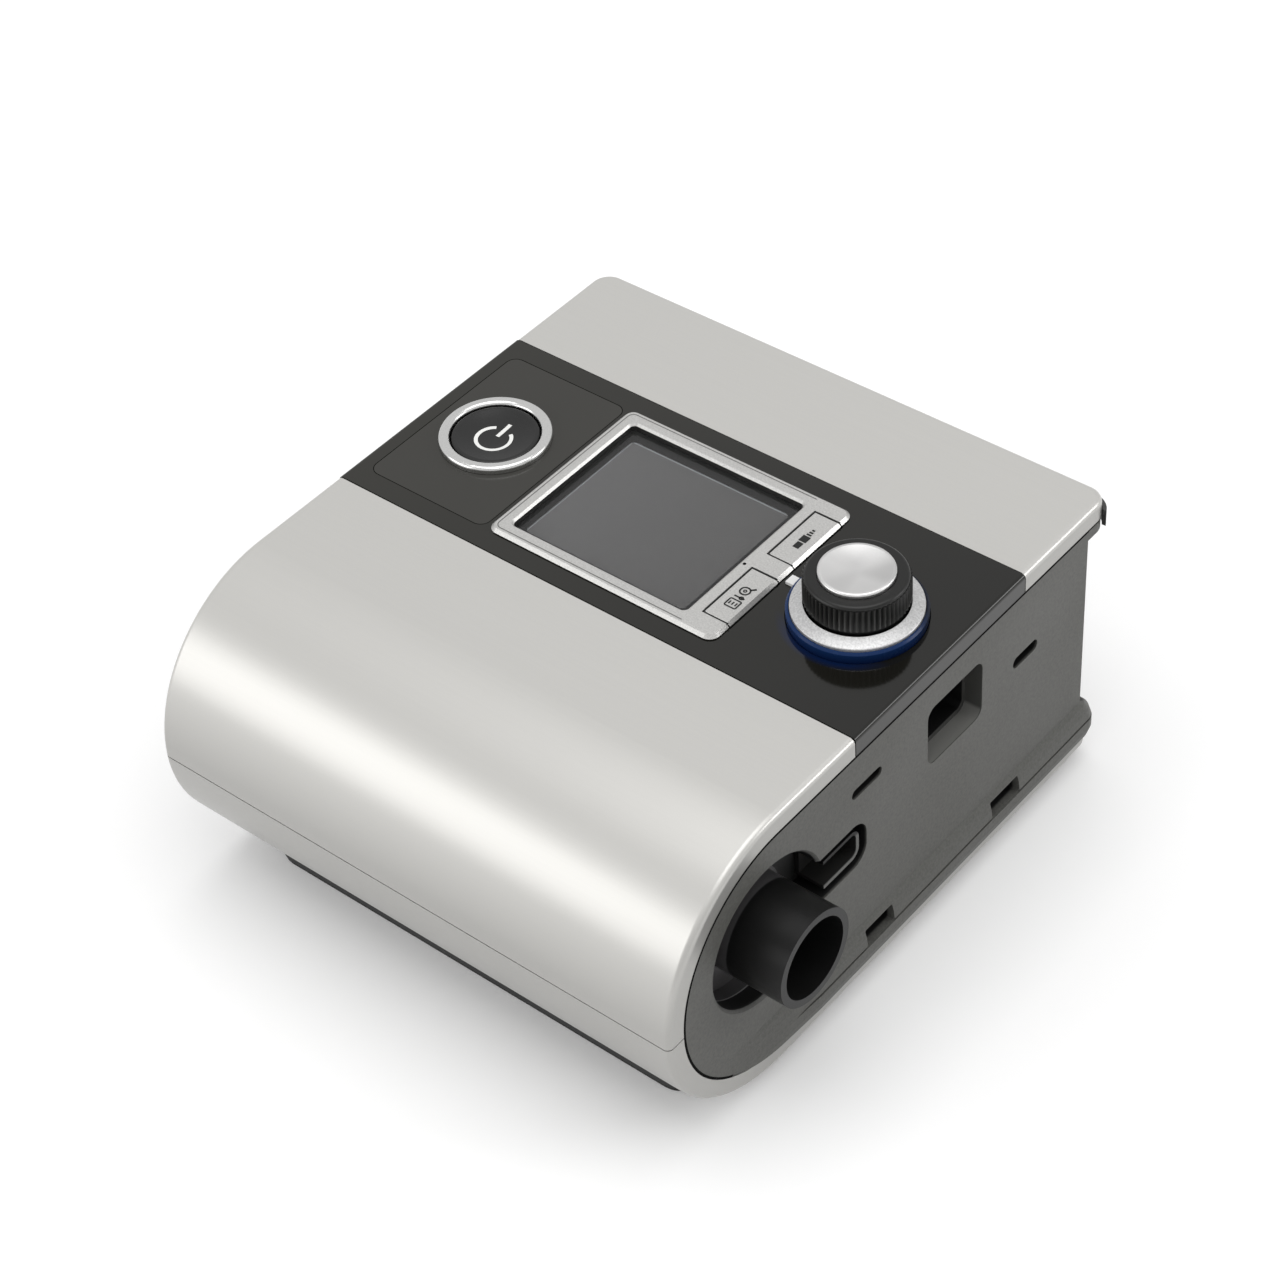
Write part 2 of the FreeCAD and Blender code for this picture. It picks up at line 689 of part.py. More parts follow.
def side_plate(side):
    """Plain side panel with its rabbet behind the rim of the outer shell."""
    inner = side * (HALF - PANEL)
    outer = side * (HALF + 20)
    plate = mid_body().common(box(min(inner, outer), max(inner, outer), -200, 200, 0, 200))
    ring_out = casing_block(200, SKIN + CLEAR, SKIN + CLEAR, SKIN + CLEAR, WALL_INNER - CLEAR)
    inset = TOP_STRIP + RABBET_WIDTH
    ring_in = casing_block(201, inset, inset, inset, WALL_INNER - CLEAR - RABBET_WIDTH)
    near = side * (HALF - SKIN - CLEAR)
    far = near - side * RABBET
    ring = ring_out.cut(ring_in).common(box(min(near, far), max(near, far), -200, 200, 0, 200))
    return fuse([plate, ring])


def recess_shape(grow, x0, x1):
    """Round recess of the outlet together with the connector slot beside it."""
    round_part = rod("x", x0, OUTLET_Y, OUTLET_Z, RECESS_RADIUS + grow, x1 - x0)
    low = CONNECTOR_Z - CONNECTOR_HEIGHT / 2 - grow
    high = CONNECTOR_Z + CONNECTOR_HEIGHT / 2 + grow
    slot = side_slab(x0, x1, OUTLET_Y, CONNECTOR_END_Y + grow, low, high, CONNECTOR_CORNER + grow)
    return fuse([round_part, slot])


def pocket(x_depth, y, z, width, height, corner, grow):
    """Rounded pocket in the right panel, or with grow its wall inside the panel."""
    outside = HALF - PANEL / 2 if grow else HALF + 5
    return side_slab(HALF - x_depth - grow, outside, y - width / 2 - grow, y + width / 2 + grow,
                     z - height / 2 - grow, z + height / 2 + grow, corner + grow)


def small_pockets(grow):
    """Locating slots, and notches in the skirt."""
    shapes = []
    for y, z, length, height in zip(SLOT_Y, SLOT_Z, SLOT_LENGTH, SLOT_HEIGHT):
        shapes.append(pocket(SLOT_DEPTH, y, z, length, height, height / 2 - 0.05, grow))
    for y, length in zip(NOTCH_Y, NOTCH_LENGTH):
        z = NOTCH_BOTTOM + NOTCH_HEIGHT / 2
        shapes.append(pocket(NOTCH_DEPTH, y, z, length, NOTCH_HEIGHT, 0.4, grow))
    return shapes


def latch_pocket(grow):
    """Latch pocket with a smaller, deeper opening in its back."""
    wide = pocket(LATCH_DEPTH, LATCH_Y, LATCH_Z, LATCH_WIDTH, LATCH_HEIGHT, LATCH_CORNER, grow)
    deep = pocket(LATCH_DEPTH + LATCH_INNER_DEPTH, LATCH_Y, LATCH_Z, LATCH_INNER_WIDTH, LATCH_INNER_HEIGHT,
                  LATCH_CORNER - 1, grow)
    return fuse([wide, deep])


def side_panel_right():
    """Side panel with the outlet recess, connector slot, latch pocket and notches."""
    solids = [side_plate(1), recess_shape(POCKET_WALL, POCKET_BACK, HALF - PANEL / 2)]
    solids.append(latch_pocket(POCKET_WALL))
    solids.extend(small_pockets(POCKET_WALL))
    part = fuse(solids)
    rim = Part.makeCone(RECESS_RADIUS, RECESS_RADIUS + RECESS_CHAMFER + 1, RECESS_CHAMFER + 1,
                        V(HALF - RECESS_CHAMFER, OUTLET_Y, OUTLET_Z), AXES["x"])
    tools = [recess_shape(0, RECESS_BACK, HALF + 5), rim, latch_pocket(0)]
    tools.extend(small_pockets(0))
    tools.append(rod("x", POCKET_BACK - 5, OUTLET_Y, OUTLET_Z, OUTLET_RADIUS + ROOT_STEP + CLEAR, 20))
    part = part.cut(tools)
    return part.common(casing_block(HALF + 10, SKIN + CLEAR, SKIN + CLEAR, SKIN + CLEAR, 200))


def side_panel_left():
    """Plain side panel."""
    return side_plate(-1)


def shelf():
    """Lip of the rear panel under the overhang of the rear cover."""
    half = HALF - CLEAR
    y0 = REAR_WALL_REACH + CLEAR
    lip = slab(-half, half, y0 - 30, TOP_REAR_REACH, SHELF_TOP - SHELF_THICKNESS, SHELF_TOP, TOP_CORNER_RADIUS)
    lip = lip.common(room(y0, 200, 0, 200))
    neck = box(-HALF + PANEL + SEAM, HALF - PANEL - SEAM, WALL_INNER, y0 + 1,
               SHELF_TOP - SHELF_THICKNESS, SHELF_TOP)
    return fuse([lip, neck])


def rear_openings():
    """Openings of the rear panel for the filter, the module and the sockets."""
    y0 = WALL_INNER - 1
    y1 = REAR_WALL_REACH + 1
    tools = []
    for x, z, width, height in cover_places():
        tools.append(box(x - width / 2, x + width / 2, y0, y1, z - height / 2, z + height / 2))
        pin_z = z - height / 2 + COVER_BARREL + COVER_GAP
        pin_start = x - width / 2 - COVER_PIN_REACH
        tools.append(rod("x", pin_start, cover_pin_y(), pin_z, COVER_PIN_RADIUS + RUNNING_FIT,
                         width + 2 * COVER_PIN_REACH))
    tools.append(rod("y", DC_X, y0, DC_Z, DC_RADIUS + CLEAR, PANEL + 2))
    half = AC_WIDTH / 2 + CLEAR
    tall = AC_HEIGHT / 2 + CLEAR
    tools.append(rear_slab(AC_X - half, AC_X + half, y0, y1, AC_Z - tall, AC_Z + tall, 2))
    return tools


def rear_panel():
    """Rear wall with its ports, its skirt and the shelf under the overhang."""
    half = HALF - PANEL - CLEAR
    wall = mid_body().common(box(-half, half, WALL_INNER, 200, 0, 200))
    return cut(fuse([wall, shelf()]), rear_openings())


def rear_trim():
    """Dark bumper strip round the rear edge of the top."""
    half = HALF + TRIM_GAP + TRIM_THICKNESS
    rear = TOP_REAR_REACH + TRIM_GAP + TRIM_THICKNESS
    corner = TOP_CORNER_RADIUS + TRIM_GAP + TRIM_THICKNESS
    z1 = TOP_HEIGHT - TRIM_DROP
    z0 = z1 - TRIM_HEIGHT
    outer = slab(-half, half, -20, rear, z0, z1, corner)
    inner = slab(-half + TRIM_THICKNESS, half - TRIM_THICKNESS, -25, rear - TRIM_THICKNESS,
                 z0 - 1, z1 + 1, corner - TRIM_THICKNESS)
    return outer.cut(inner).common(room(rear - TRIM_CORNER_WRAP, 200, 0, 200))


# ---- control band ----
def frame_box(inset, z0, z1, radius):
    """Block with the outline of the display frame, inset."""
    half = FRAME_WIDTH / 2 - inset
    deep = FRAME_DEPTH / 2 - inset
    return slab(DISPLAY_X - half, DISPLAY_X + half, BAND_CENTRE_Y - deep, BAND_CENTRE_Y + deep, z0, z1, radius)


def key_places():
    """Names and centres in Y of the two keys."""
    return [("info_key", BAND_CENTRE_Y + KEY_OFFSET + 0.55), ("setup_key", BAND_CENTRE_Y - KEY_OFFSET + 0.55)]


def key_box(y, grow, z0, z1):
    """Space of a key, from its left side to the right rim of the frame."""
    half = KEY_DEPTH / 2 + grow
    return box(KEY_LEFT - grow, FRAME_RIGHT + grow, y - half, y + half, z0, z1)


def control_band():
    """Dark band across the top that carries the display, the button and the dial."""
    y0 = BAND_FRONT + SEAM / 2
    y1 = BAND_REAR - SEAM / 2
    band = box(-HALF, HALF, y0, y1, STRIP_BOTTOM, TOP_HEIGHT)

    def long_top_edge(e):
        b = e.BoundBox
        return b.YLength > 1 and b.ZMin > TOP_HEIGHT - 1e-3

    band = rounding(band, BAND_EDGE_RADIUS, long_top_edge)
    hollow = box(-HALF + SKIN, HALF - SKIN, y0 - 1, y1 + 1, 0, INNER_TOP)
    z0 = INNER_TOP - 1
    z1 = TOP_HEIGHT + 5
    tools = [hollow, frame_box(FRAME_LIP - 0.2, z0, z1, FRAME_CORNER - FRAME_LIP + 0.2)]
    for _, y in key_places():
        tools.append(key_box(y, KEY_CLEARANCE, z0, z1))
    tools.append(rod("z", BUTTON_X, BAND_CENTRE_Y, z0, RING_SKIRT_RADIUS + CLEAR, 10))
    tools.append(rod("z", DIAL_X, BAND_CENTRE_Y, z0, LIGHT_RING_RADIUS + CLEAR, 10))
    tools.append(inlay_block(INLAY_GAP, TOP_HEIGHT - INLAY_THICKNESS - CLEAR / 2, z1))
    band = cut(band, tools)
    bosses = []
    bores = []
    for x, y in board_fix_places():
        height = INNER_TOP + 0.4 - BOARD_TOP - CLEAR / 2
        bosses.append(rod("z", x, y, BOARD_TOP + CLEAR / 2, BOARD_FIX_RADIUS, height))
        bores.append(rod("z", x, y, BOARD_TOP, BOARD_SCREW_RADIUS + 0.05, INNER_TOP - 1 - BOARD_TOP))
    return cut(fuse([band] + bosses), bores)


def inlay_block(grow, z0, z1):
    """Outline of the inlay round the power button."""
    half = INLAY_WIDTH / 2 + grow
    deep = INLAY_DEPTH / 2 + grow
    return slab(INLAY_CENTRE_X - half, INLAY_CENTRE_X + half, BAND_CENTRE_Y - deep, BAND_CENTRE_Y + deep,
                z0, z1, INLAY_CORNER + grow)


def button_inlay():
    """Thin plate set flush in the band round the power button."""
    plate = inlay_block(0, TOP_HEIGHT - INLAY_THICKNESS, TOP_HEIGHT)
    return cut(plate, [rod("z", BUTTON_X, BAND_CENTRE_Y, TOP_HEIGHT - 3, RING_SKIRT_RADIUS + CLEAR, 6)])


# ---- display ----
def window_box(grow, z0, z1):
    """Block with the outline of the display window."""
    deep = WINDOW_DEPTH / 2 + grow
    return slab(WINDOW_LEFT - grow, WINDOW_RIGHT + grow, BAND_CENTRE_Y - deep, BAND_CENTRE_Y + deep,
                z0, z1, WINDOW_CORNER + max(grow, 0))


def display_frame():
    """Silver frame round the display, open at its right side for the keys."""
    rim = frame_box(0, TOP_HEIGHT + CLEAR / 2, FRAME_TOP, FRAME_CORNER)
    rim = bevel(rim, FRAME_BEVEL, at_height(FRAME_TOP))
    skirt = frame_box(FRAME_LIP, TOP_HEIGHT - FRAME_SKIRT, FRAME_TOP - FRAME_RISE / 2, FRAME_CORNER - FRAME_LIP)
    part = fuse([rim, skirt])
    tools = [window_box(0, TOP_HEIGHT - 10, FRAME_TOP + 5)]
    for _, y in key_places():
        tools.append(key_box(y, KEY_CLEARANCE, TOP_HEIGHT - 10, FRAME_TOP + 5).common(
            box(0, FRAME_WIDTH, -200, 200, 0, 200)))
    tools.append(window_box(LENS_LAND, TOP_HEIGHT - 10, FRAME_TOP - BEZEL_DEPTH))
    tools.append(rod("z", WINDOW_RIGHT + 1.2, BAND_CENTRE_Y - 2.1, FRAME_TOP - 1, 0.4, 5))
    part = cut(part, tools)

    def window_edge(e):
        b = e.BoundBox
        return at_height(FRAME_TOP)(e) and b.XMin > WINDOW_LEFT - 0.1 and b.XMax < WINDOW_RIGHT + 0.1

    return bevel(part, WINDOW_BEVEL, window_edge)


def display_lens():
    """Clear window over the display."""
    return window_box(LENS_LAND - CLEAR, LENS_BOTTOM, LENS_TOP)


def display_mask():
    """Thin dark border on the underside of the window."""
    deep = WINDOW_DEPTH / 2
    view = slab(WINDOW_LEFT + MASK_SIDE, WINDOW_RIGHT - MASK_SIDE, BAND_CENTRE_Y - deep + MASK_FRONT,
                BAND_CENTRE_Y + deep - MASK_REAR, MASK_BOTTOM - 1, LENS_BOTTOM + 1, WINDOW_CORNER)
    return window_box(LENS_LAND - CLEAR, MASK_BOTTOM, LENS_BOTTOM).cut(view)


def display_module():
    """Liquid crystal display with its backlight, on the control board."""
    return window_box(LENS_LAND - CLEAR, BOARD_TOP + CLEAR / 2, MASK_BOTTOM - CLEAR / 2)


def key(y):
    """Key cap that makes up the right rim of the frame."""
    cap = key_box(y, 0, KEY_BOTTOM, FRAME_TOP)

    def outer_top_edge(e):
        b = e.BoundBox
        return at_height(FRAME_TOP)(e) and b.XMin > FRAME_RIGHT - 1e-3

    cap = bevel(cap, FRAME_BEVEL, outer_top_edge)

    def other_top_edge(e):
        b = e.BoundBox
        return at_height(FRAME_TOP)(e) and b.XMin < FRAME_RIGHT - FRAME_BEVEL - 1e-3

    return bevel(cap, 0.2, other_top_edge)


def key_centre_x():
    """Middle of a key across its width."""
    return (KEY_LEFT + FRAME_RIGHT) / 2


def key_switches():
    """Switches under the two keys."""
    solids = []
    x = key_centre_x()
    half = KEY_SWITCH_SIZE / 2
    z0 = BOARD_TOP + CLEAR / 2
    top = KEY_BOTTOM - KEY_TRAVEL - 0.2
    for _, y in key_places():
        body = box(x - half, x + half, y - half, y + half, z0, z0 + KEY_SWITCH_HEIGHT)
        solids.append(fuse([body, rod("z", x, y, z0 + 1, KEY_PLUNGER_RADIUS, top - z0 - 1)]))
    return solids


# ---- power button ----
def power_ring():
    """Bright ring round the power button."""
    rim = pipe("z", BUTTON_X, BAND_CENTRE_Y, TOP_HEIGHT + CLEAR / 2, RING_OUTER_RADIUS, RING_INNER_RADIUS,
               RING_RISE - CLEAR / 2)
    rim = rounding(rim, RING_ROUNDING, at_height(TOP_HEIGHT + RING_RISE))
    skirt = pipe("z", BUTTON_X, BAND_CENTRE_Y, RING_BOTTOM, RING_SKIRT_RADIUS, RING_INNER_RADIUS,
                 RING_SKIRT + RING_RISE / 2)
    return fuse([rim, skirt])


def power_button():
    """Dished push button, kept in by the flange under the ring."""
    radius = RING_INNER_RADIUS - BUTTON_CLEARANCE
    top = TOP_HEIGHT + BUTTON_RISE
    body = rod("z", BUTTON_X, BAND_CENTRE_Y, BUTTON_BOTTOM, radius, top - BUTTON_BOTTOM)
    body = rounding(body, 0.5, at_height(top))
    flange_radius = RING_SKIRT_RADIUS - 0.4
    body = fuse([body, rod("z", BUTTON_X, BAND_CENTRE_Y, BUTTON_BOTTOM, flange_radius, BUTTON_FLANGE)])
    reach = radius - 1.0
    ball = (reach * reach + BUTTON_DISH * BUTTON_DISH) / (2 * BUTTON_DISH)
    dish = Part.makeSphere(ball, V(BUTTON_X, BAND_CENTRE_Y, top - BUTTON_DISH + ball))
    roof = top - BUTTON_DISH - BUTTON_WALL
    hollow = pipe("z", BUTTON_X, BAND_CENTRE_Y, BUTTON_BOTTOM - 1, radius - BUTTON_WALL, BUTTON_POST_RADIUS,
                  roof - BUTTON_BOTTOM + 1)
    return cut(body, [dish, hollow])


def power_switch():
    """Switch under the power button."""
    half = POWER_SWITCH_SIZE / 2
    z0 = BOARD_TOP + CLEAR / 2
    body = box(BUTTON_X - half, BUTTON_X + half, BAND_CENTRE_Y - half, BAND_CENTRE_Y + half,
               z0, z0 + POWER_SWITCH_HEIGHT)
    top = BUTTON_BOTTOM - BUTTON_TRAVEL - CLEAR
    return fuse([body, rod("z", BUTTON_X, BAND_CENTRE_Y, z0 + 1, POWER_PLUNGER_RADIUS, top - z0 - 1)])


# ---- dial ----
def dial_light_ring():
    """Translucent blue ring at the foot of the dial."""
    inner = BASE_RING_RADIUS + CLEAR
    ring = pipe("z", DIAL_X, BAND_CENTRE_Y, DIAL_WEB_BOTTOM, LIGHT_RING_RADIUS, inner,
                BASE_RING_SKIRT + LIGHT_RING_RISE)

    def outer_edge(e):
        return at_height(TOP_HEIGHT + LIGHT_RING_RISE)(e) and e.BoundBox.XLength > inner + LIGHT_RING_RADIUS

    return bevel(ring, LIGHT_RING_BEVEL, outer_edge)


def dial_base_ring():
    """Silver collar that the knob turns in, with a top that falls outwards."""
    top = TOP_HEIGHT + BASE_RING_RISE
    collar = revolve([(BASE_RING_INNER, DIAL_WEB_BOTTOM), (BASE_RING_RADIUS, DIAL_WEB_BOTTOM),
                      (BASE_RING_RADIUS, top), (BASE_RING_INNER, top + BASE_RING_CONE)], DIAL_X, BAND_CENTRE_Y)
    collar = rounding(collar, BASE_RING_ROUNDING, at_height(top))
    web = pipe("z", DIAL_X, BAND_CENTRE_Y, DIAL_WEB_BOTTOM, BASE_RING_INNER + 0.5,
               COLLAR_RADIUS + BUTTON_CLEARANCE, BASE_RING_WEB)
    return fuse([collar, web])


def knurled_band(z0, z1):
    """Short cylinder with fine grooves round it."""
    points = []
    for i in range(2 * KNURL_COUNT):
        angle = math.pi / KNURL_COUNT * i
        radius = KNOB_RADIUS if i % 2 == 0 else KNOB_RADIUS - KNURL_DEPTH
        points.append(V(DIAL_X + radius * math.cos(angle), BAND_CENTRE_Y + radius * math.sin(angle), z0))
    return Part.Face(lines(points)).extrude(V(0, 0, z1 - z0))


def dial_knob():
    """Black knob with a knurled grip and a rounded shoulder."""
    skirt = KNOB_RADIUS - KNOB_SKIRT_INSET
    shoulder_z = KNOB_TOP - KNOB_SHOULDER
    base = rod("z", DIAL_X, BAND_CENTRE_Y, KNOB_BOTTOM, skirt, KNURL_BOTTOM - KNOB_BOTTOM + 0.5)
    grip = knurled_band(KNURL_BOTTOM, shoulder_z)
    core = KNOB_RADIUS - KNURL_DEPTH
    top = rod("z", DIAL_X, BAND_CENTRE_Y, shoulder_z - 0.5, core, KNOB_SHOULDER + 0.5)
    top = rounding(top, KNOB_SHOULDER, at_height(KNOB_TOP))
    seat = rod("z", DIAL_X, BAND_CENTRE_Y, KNOB_TOP - CAP_SEAT, CAP_RADIUS + CLEAR, 5)
    bore_top = KNOB_TOP - CAP_SEAT - 1.0
    bore = rod("z", DIAL_X, BAND_CENTRE_Y, KNOB_BOTTOM - 1, SHAFT_RADIUS + RUNNING_FIT, bore_top - KNOB_BOTTOM + 1)
    hollow = pipe("z", DIAL_X, BAND_CENTRE_Y, KNOB_BOTTOM - 1, skirt - 1.8, SHAFT_RADIUS + 2.0,
                  bore_top - 1 - KNOB_BOTTOM + 1)
    return cut(fuse([base, grip, top]), [seat, bore, hollow])


def dial_cap():
    """Bright dished disc on top of the knob."""
    z0 = KNOB_TOP - CAP_SEAT + CLEAR / 2
    top = KNOB_TOP + CAP_RISE
    disc = rounding(rod("z", DIAL_X, BAND_CENTRE_Y, z0, CAP_RADIUS, top - z0), CAP_ROUNDING, at_height(top))
    reach = CAP_RADIUS - 0.8
    ball = (reach * reach + CAP_DISH * CAP_DISH) / (2 * CAP_DISH)
    return disc.cut(Part.makeSphere(ball, V(DIAL_X, BAND_CENTRE_Y, top - CAP_DISH + ball)))


def dial_shaft():
    """Shaft that carries the knob and turns in the encoder."""
    z0 = BOARD_TOP + ENCODER_FLOOR + DIAL_TRAVEL + 0.5
    z1 = KNOB_TOP - CAP_SEAT - 1.0 - CLEAR
    return rod("z", DIAL_X, BAND_CENTRE_Y, z0, SHAFT_RADIUS, z1 - z0)


def encoder_collar():
    """Collar that goes down with the dial when it is pushed."""
    z0 = BOARD_TOP + ENCODER_FLOOR + DIAL_TRAVEL + 0.5
    return pipe("z", DIAL_X, BAND_CENTRE_Y, z0, COLLAR_RADIUS, SHAFT_RADIUS + RUNNING_FIT,
                KNOB_BOTTOM - CLEAR - z0)


def encoder_body():
    """Rotary encoder on the control board."""
    half = ENCODER_SIZE / 2
    z0 = BOARD_TOP + CLEAR / 2
    body = box(DIAL_X - half, DIAL_X + half, BAND_CENTRE_Y - half, BAND_CENTRE_Y + half, z0, ENCODER_TOP)
    floor = BOARD_TOP + ENCODER_FLOOR
    return cut(body, [rod("z", DIAL_X, BAND_CENTRE_Y, floor, COLLAR_RADIUS + RUNNING_FIT, 20)])


def dial_marker():
    """Small bright tab on the band, beside the dial."""
    x1 = DIAL_X - LIGHT_RING_RADIUS - 0.3
    y = BAND_CENTRE_Y - MARKER_WIDTH / 2
    return box(x1 - MARKER_LENGTH, x1, y, y + MARKER_WIDTH, TOP_HEIGHT, TOP_HEIGHT + MARKER_RISE)


# ---- boards and inner frame ----
def board_fix_places():
    """Centres of the screws that hold the control board."""
    ys = (BAND_CENTRE_Y - BOARD_FIX_OFFSET, BAND_CENTRE_Y + BOARD_FIX_OFFSET)
    return [(x, y) for x in BOARD_FIX_X for y in ys]


def control_board():
    """Circuit board under the band."""
    deep = BOARD_DEPTH / 2
    board = box(BOARD_LEFT, BOARD_RIGHT, BAND_CENTRE_Y - deep, BAND_CENTRE_Y + deep, BOARD_BOTTOM, BOARD_TOP)
    holes = [rod("z", x, y, BOARD_BOTTOM - 1, BOARD_SCREW_RADIUS + CLEAR, BOARD + 2) for x, y in board_fix_places()]
    return cut(board, holes)


def board_screws():
    """Screws through the deck and the board into the band."""
    solids = []
    head_z = DECK_BOTTOM - BOARD_SCREW_HEAD_HEIGHT
    for x, y in board_fix_places():
        head = rod("z", x, y, head_z, BOARD_SCREW_HEAD, BOARD_SCREW_HEAD_HEIGHT)
        shank = rod("z", x, y, head_z + 0.5, BOARD_SCREW_RADIUS, INNER_TOP - 2 - head_z - 0.5)
        solids.append(fuse([head, shank]))
    return solids


def inner_frame():
    """Moulded deck on four legs that carries the board and the covers."""
    deck = box(DECK_LEFT, DECK_RIGHT, DECK_FRONT, DECK_REAR, DECK_BOTTOM, DECK_TOP)
    notch_y = LATCH_Y + LATCH_WIDTH / 2 + POCKET_WALL + 1
    notch_y0 = LATCH_Y - LATCH_WIDTH / 2 - POCKET_WALL - 1
    latch_x = HALF - LATCH_DEPTH - LATCH_INNER_DEPTH - POCKET_WALL - 0.6
    outlet_y = OUTLET_Y + RECESS_RADIUS + POCKET_WALL + 1
    outlet_x = POCKET_BACK - GASKET - OUTLET_FLANGE - 1
    slot_x = HALF - SLOT_DEPTH - POCKET_WALL - 0.6
    slot_reach = SLOT_LENGTH[0] / 2 + POCKET_WALL + 1
    tools = [
        box(latch_x, 200, notch_y0, notch_y, 0, 200),
        box(outlet_x, 200, -200, outlet_y, 0, 200),
        box(slot_x, 200, SLOT_Y[0] - slot_reach, SLOT_Y[0] + slot_reach, 0, 200),
        rod("z", BLOWER_X, BLOWER_Y, DECK_BOTTOM - 1, DECK_EYE_RADIUS, DECK + 2),
    ]
    posts = []
    for x, y in leg_places():
        seat = FLOOR + LEG_SEAT + CLEAR / 2
        posts.append(rod("z", x, y, seat, LEG_RADIUS, DECK_BOTTOM + 0.5 - seat))
        tools.append(rod("z", x, y, seat - 1, SCREW_RADIUS + 0.05, SCREW_GRIP + 1.5))
    for x in COVER_POST_X:
        for y in (FRONT_POST_Y, REAR_POST_Y):
            top = INNER_TOP - 1.5 - CLEAR / 2
            posts.append(rod("z", x, y, DECK_TOP - 0.5, POST_RADIUS, top - DECK_TOP + 0.5))
    for x, y in board_fix_places():
        top = BOARD_BOTTOM - CLEAR / 2
        posts.append(rod("z", x, y, DECK_TOP - 0.5, BOARD_FIX_RADIUS, top - DECK_TOP + 0.5))
        tools.append(rod("z", x, y, DECK_BOTTOM - 1, BOARD_SCREW_RADIUS + CLEAR, 20))
    return cut(fuse([deck] + posts), tools)


def base_screws():
    """Screws through the base shell into the legs of the inner frame."""
    solids = []
    z0 = UNDERSIDE_HEIGHT + SCREW_RECESS
    tip = FLOOR + LEG_SEAT + SCREW_GRIP
    for x, y in leg_places():
        head = rod("z", x, y, z0, SCREW_HEAD_RADIUS, SCREW_HEAD)
        shank = rod("z", x, y, z0 + 0.5, SCREW_RADIUS, tip - z0 - 0.5)
        driver = rod("z", x, y, z0 - 1, 1.1, 2.0)
        solids.append(fuse([head, shank]).cut(driver))
    return solids


# ---- blower ----
def volute(z0, z1):
    """Half of the blower casing between two heights, with its half of the spout."""
    drum = rod("z", BLOWER_X, BLOWER_Y, VOLUTE_BOTTOM, VOLUTE_RADIUS, VOLUTE_HEIGHT)
    spout = rod("x", BLOWER_X, OUTLET_Y, OUTLET_Z, SPIGOT_RADIUS, SPOUT_REACH)
    inside = rod("z", BLOWER_X, BLOWER_Y, VOLUTE_BOTTOM + VOLUTE_WALL, VOLUTE_RADIUS - VOLUTE_WALL,
                 VOLUTE_HEIGHT - 2 * VOLUTE_WALL)
    bore = rod("x", BLOWER_X, OUTLET_Y, OUTLET_Z, SPIGOT_RADIUS - SPOUT_WALL, SPOUT_REACH + 1)
    whole = cut(fuse([drum, spout]), [inside, bore])
    return whole.common(box(-200, 200, -200, 200, z0, z1))


def blower_upper():
    """Upper half of the blower casing, with the air intake in its middle."""
    half = volute(OUTLET_Z + CLEAR / 2, VOLUTE_TOP + 5)
    collar = pipe("z", BLOWER_X, BLOWER_Y, VOLUTE_TOP - 0.5, EYE_RADIUS + 1.6, EYE_RADIUS, EYE_COLLAR + 0.5)
    eye = rod("z", BLOWER_X, BLOWER_Y, VOLUTE_TOP - 5, EYE_RADIUS, 20)
    return cut(fuse([half, collar]), [eye])


def blower_lower():
    """Lower half of the blower casing, with the seat of the upper bearing."""
    half = volute(VOLUTE_BOTTOM, OUTLET_Z - CLEAR / 2)
    seat_z = VOLUTE_BOTTOM - BEARING_HEIGHT - 0.2
    seat = rod("z", BLOWER_X, BLOWER_Y, seat_z, BEARING_RADIUS + BEARING_SEAT_WALL, BEARING_HEIGHT + 1)
    bore = rod("z", BLOWER_X, BLOWER_Y, seat_z - 1, BEARING_RADIUS + RUNNING_FIT, BEARING_HEIGHT + 1.2)
    way = rod("z", BLOWER_X, BLOWER_Y, seat_z, ROTOR_SHAFT_RADIUS + 0.6, 10)
    return cut(fuse([half, seat]), [bore, way])


def motor_can():
    """Cup that holds the stator and the lower bearing."""
    cup = rod("z", BLOWER_X, BLOWER_Y, MOTOR_BOTTOM, MOTOR_RADIUS, MOTOR_HEIGHT)
    inside = rod("z", BLOWER_X, BLOWER_Y, MOTOR_BOTTOM + MOTOR_WALL, MOTOR_RADIUS - MOTOR_WALL, MOTOR_HEIGHT)
    seat = pipe("z", BLOWER_X, BLOWER_Y, MOTOR_BOTTOM + MOTOR_WALL / 2, BEARING_RADIUS + BEARING_SEAT_WALL,
                BEARING_RADIUS + RUNNING_FIT, BEARING_HEIGHT + MOTOR_WALL / 2 + 0.2)
    floor = rod("z", BLOWER_X, BLOWER_Y, MOTOR_BOTTOM, MOTOR_RADIUS - 1, MOTOR_WALL)
    return fuse([cup.cut(inside), seat, floor])


def bearing_heights():
    """Undersides of the lower and the upper bearing."""
    return (MOTOR_BOTTOM + MOTOR_WALL + RUNNING_FIT, VOLUTE_BOTTOM - BEARING_HEIGHT - 0.1)


def motor_bearings():
    """Two ball bearings, shown as their rings."""
    bore = ROTOR_SHAFT_RADIUS + RUNNING_FIT
    return [pipe("z", BLOWER_X, BLOWER_Y, z, BEARING_RADIUS, bore, BEARING_HEIGHT) for z in bearing_heights()]


def motor_stator():
    """Wound ring of the motor."""
    return pipe("z", BLOWER_X, BLOWER_Y, STATOR_BOTTOM, STATOR_RADIUS, STATOR_INNER, STATOR_HEIGHT)


def rotor_magnet():
    """Magnet of the rotor, inside the stator."""
    return pipe("z", BLOWER_X, BLOWER_Y, STATOR_BOTTOM + 0.3, MAGNET_RADIUS, ROTOR_SHAFT_RADIUS + RUNNING_FIT,
                STATOR_HEIGHT - 0.6)


def impeller_bottom():
    """Underside of the impeller disc."""
    return VOLUTE_BOTTOM + VOLUTE_WALL + 1.2


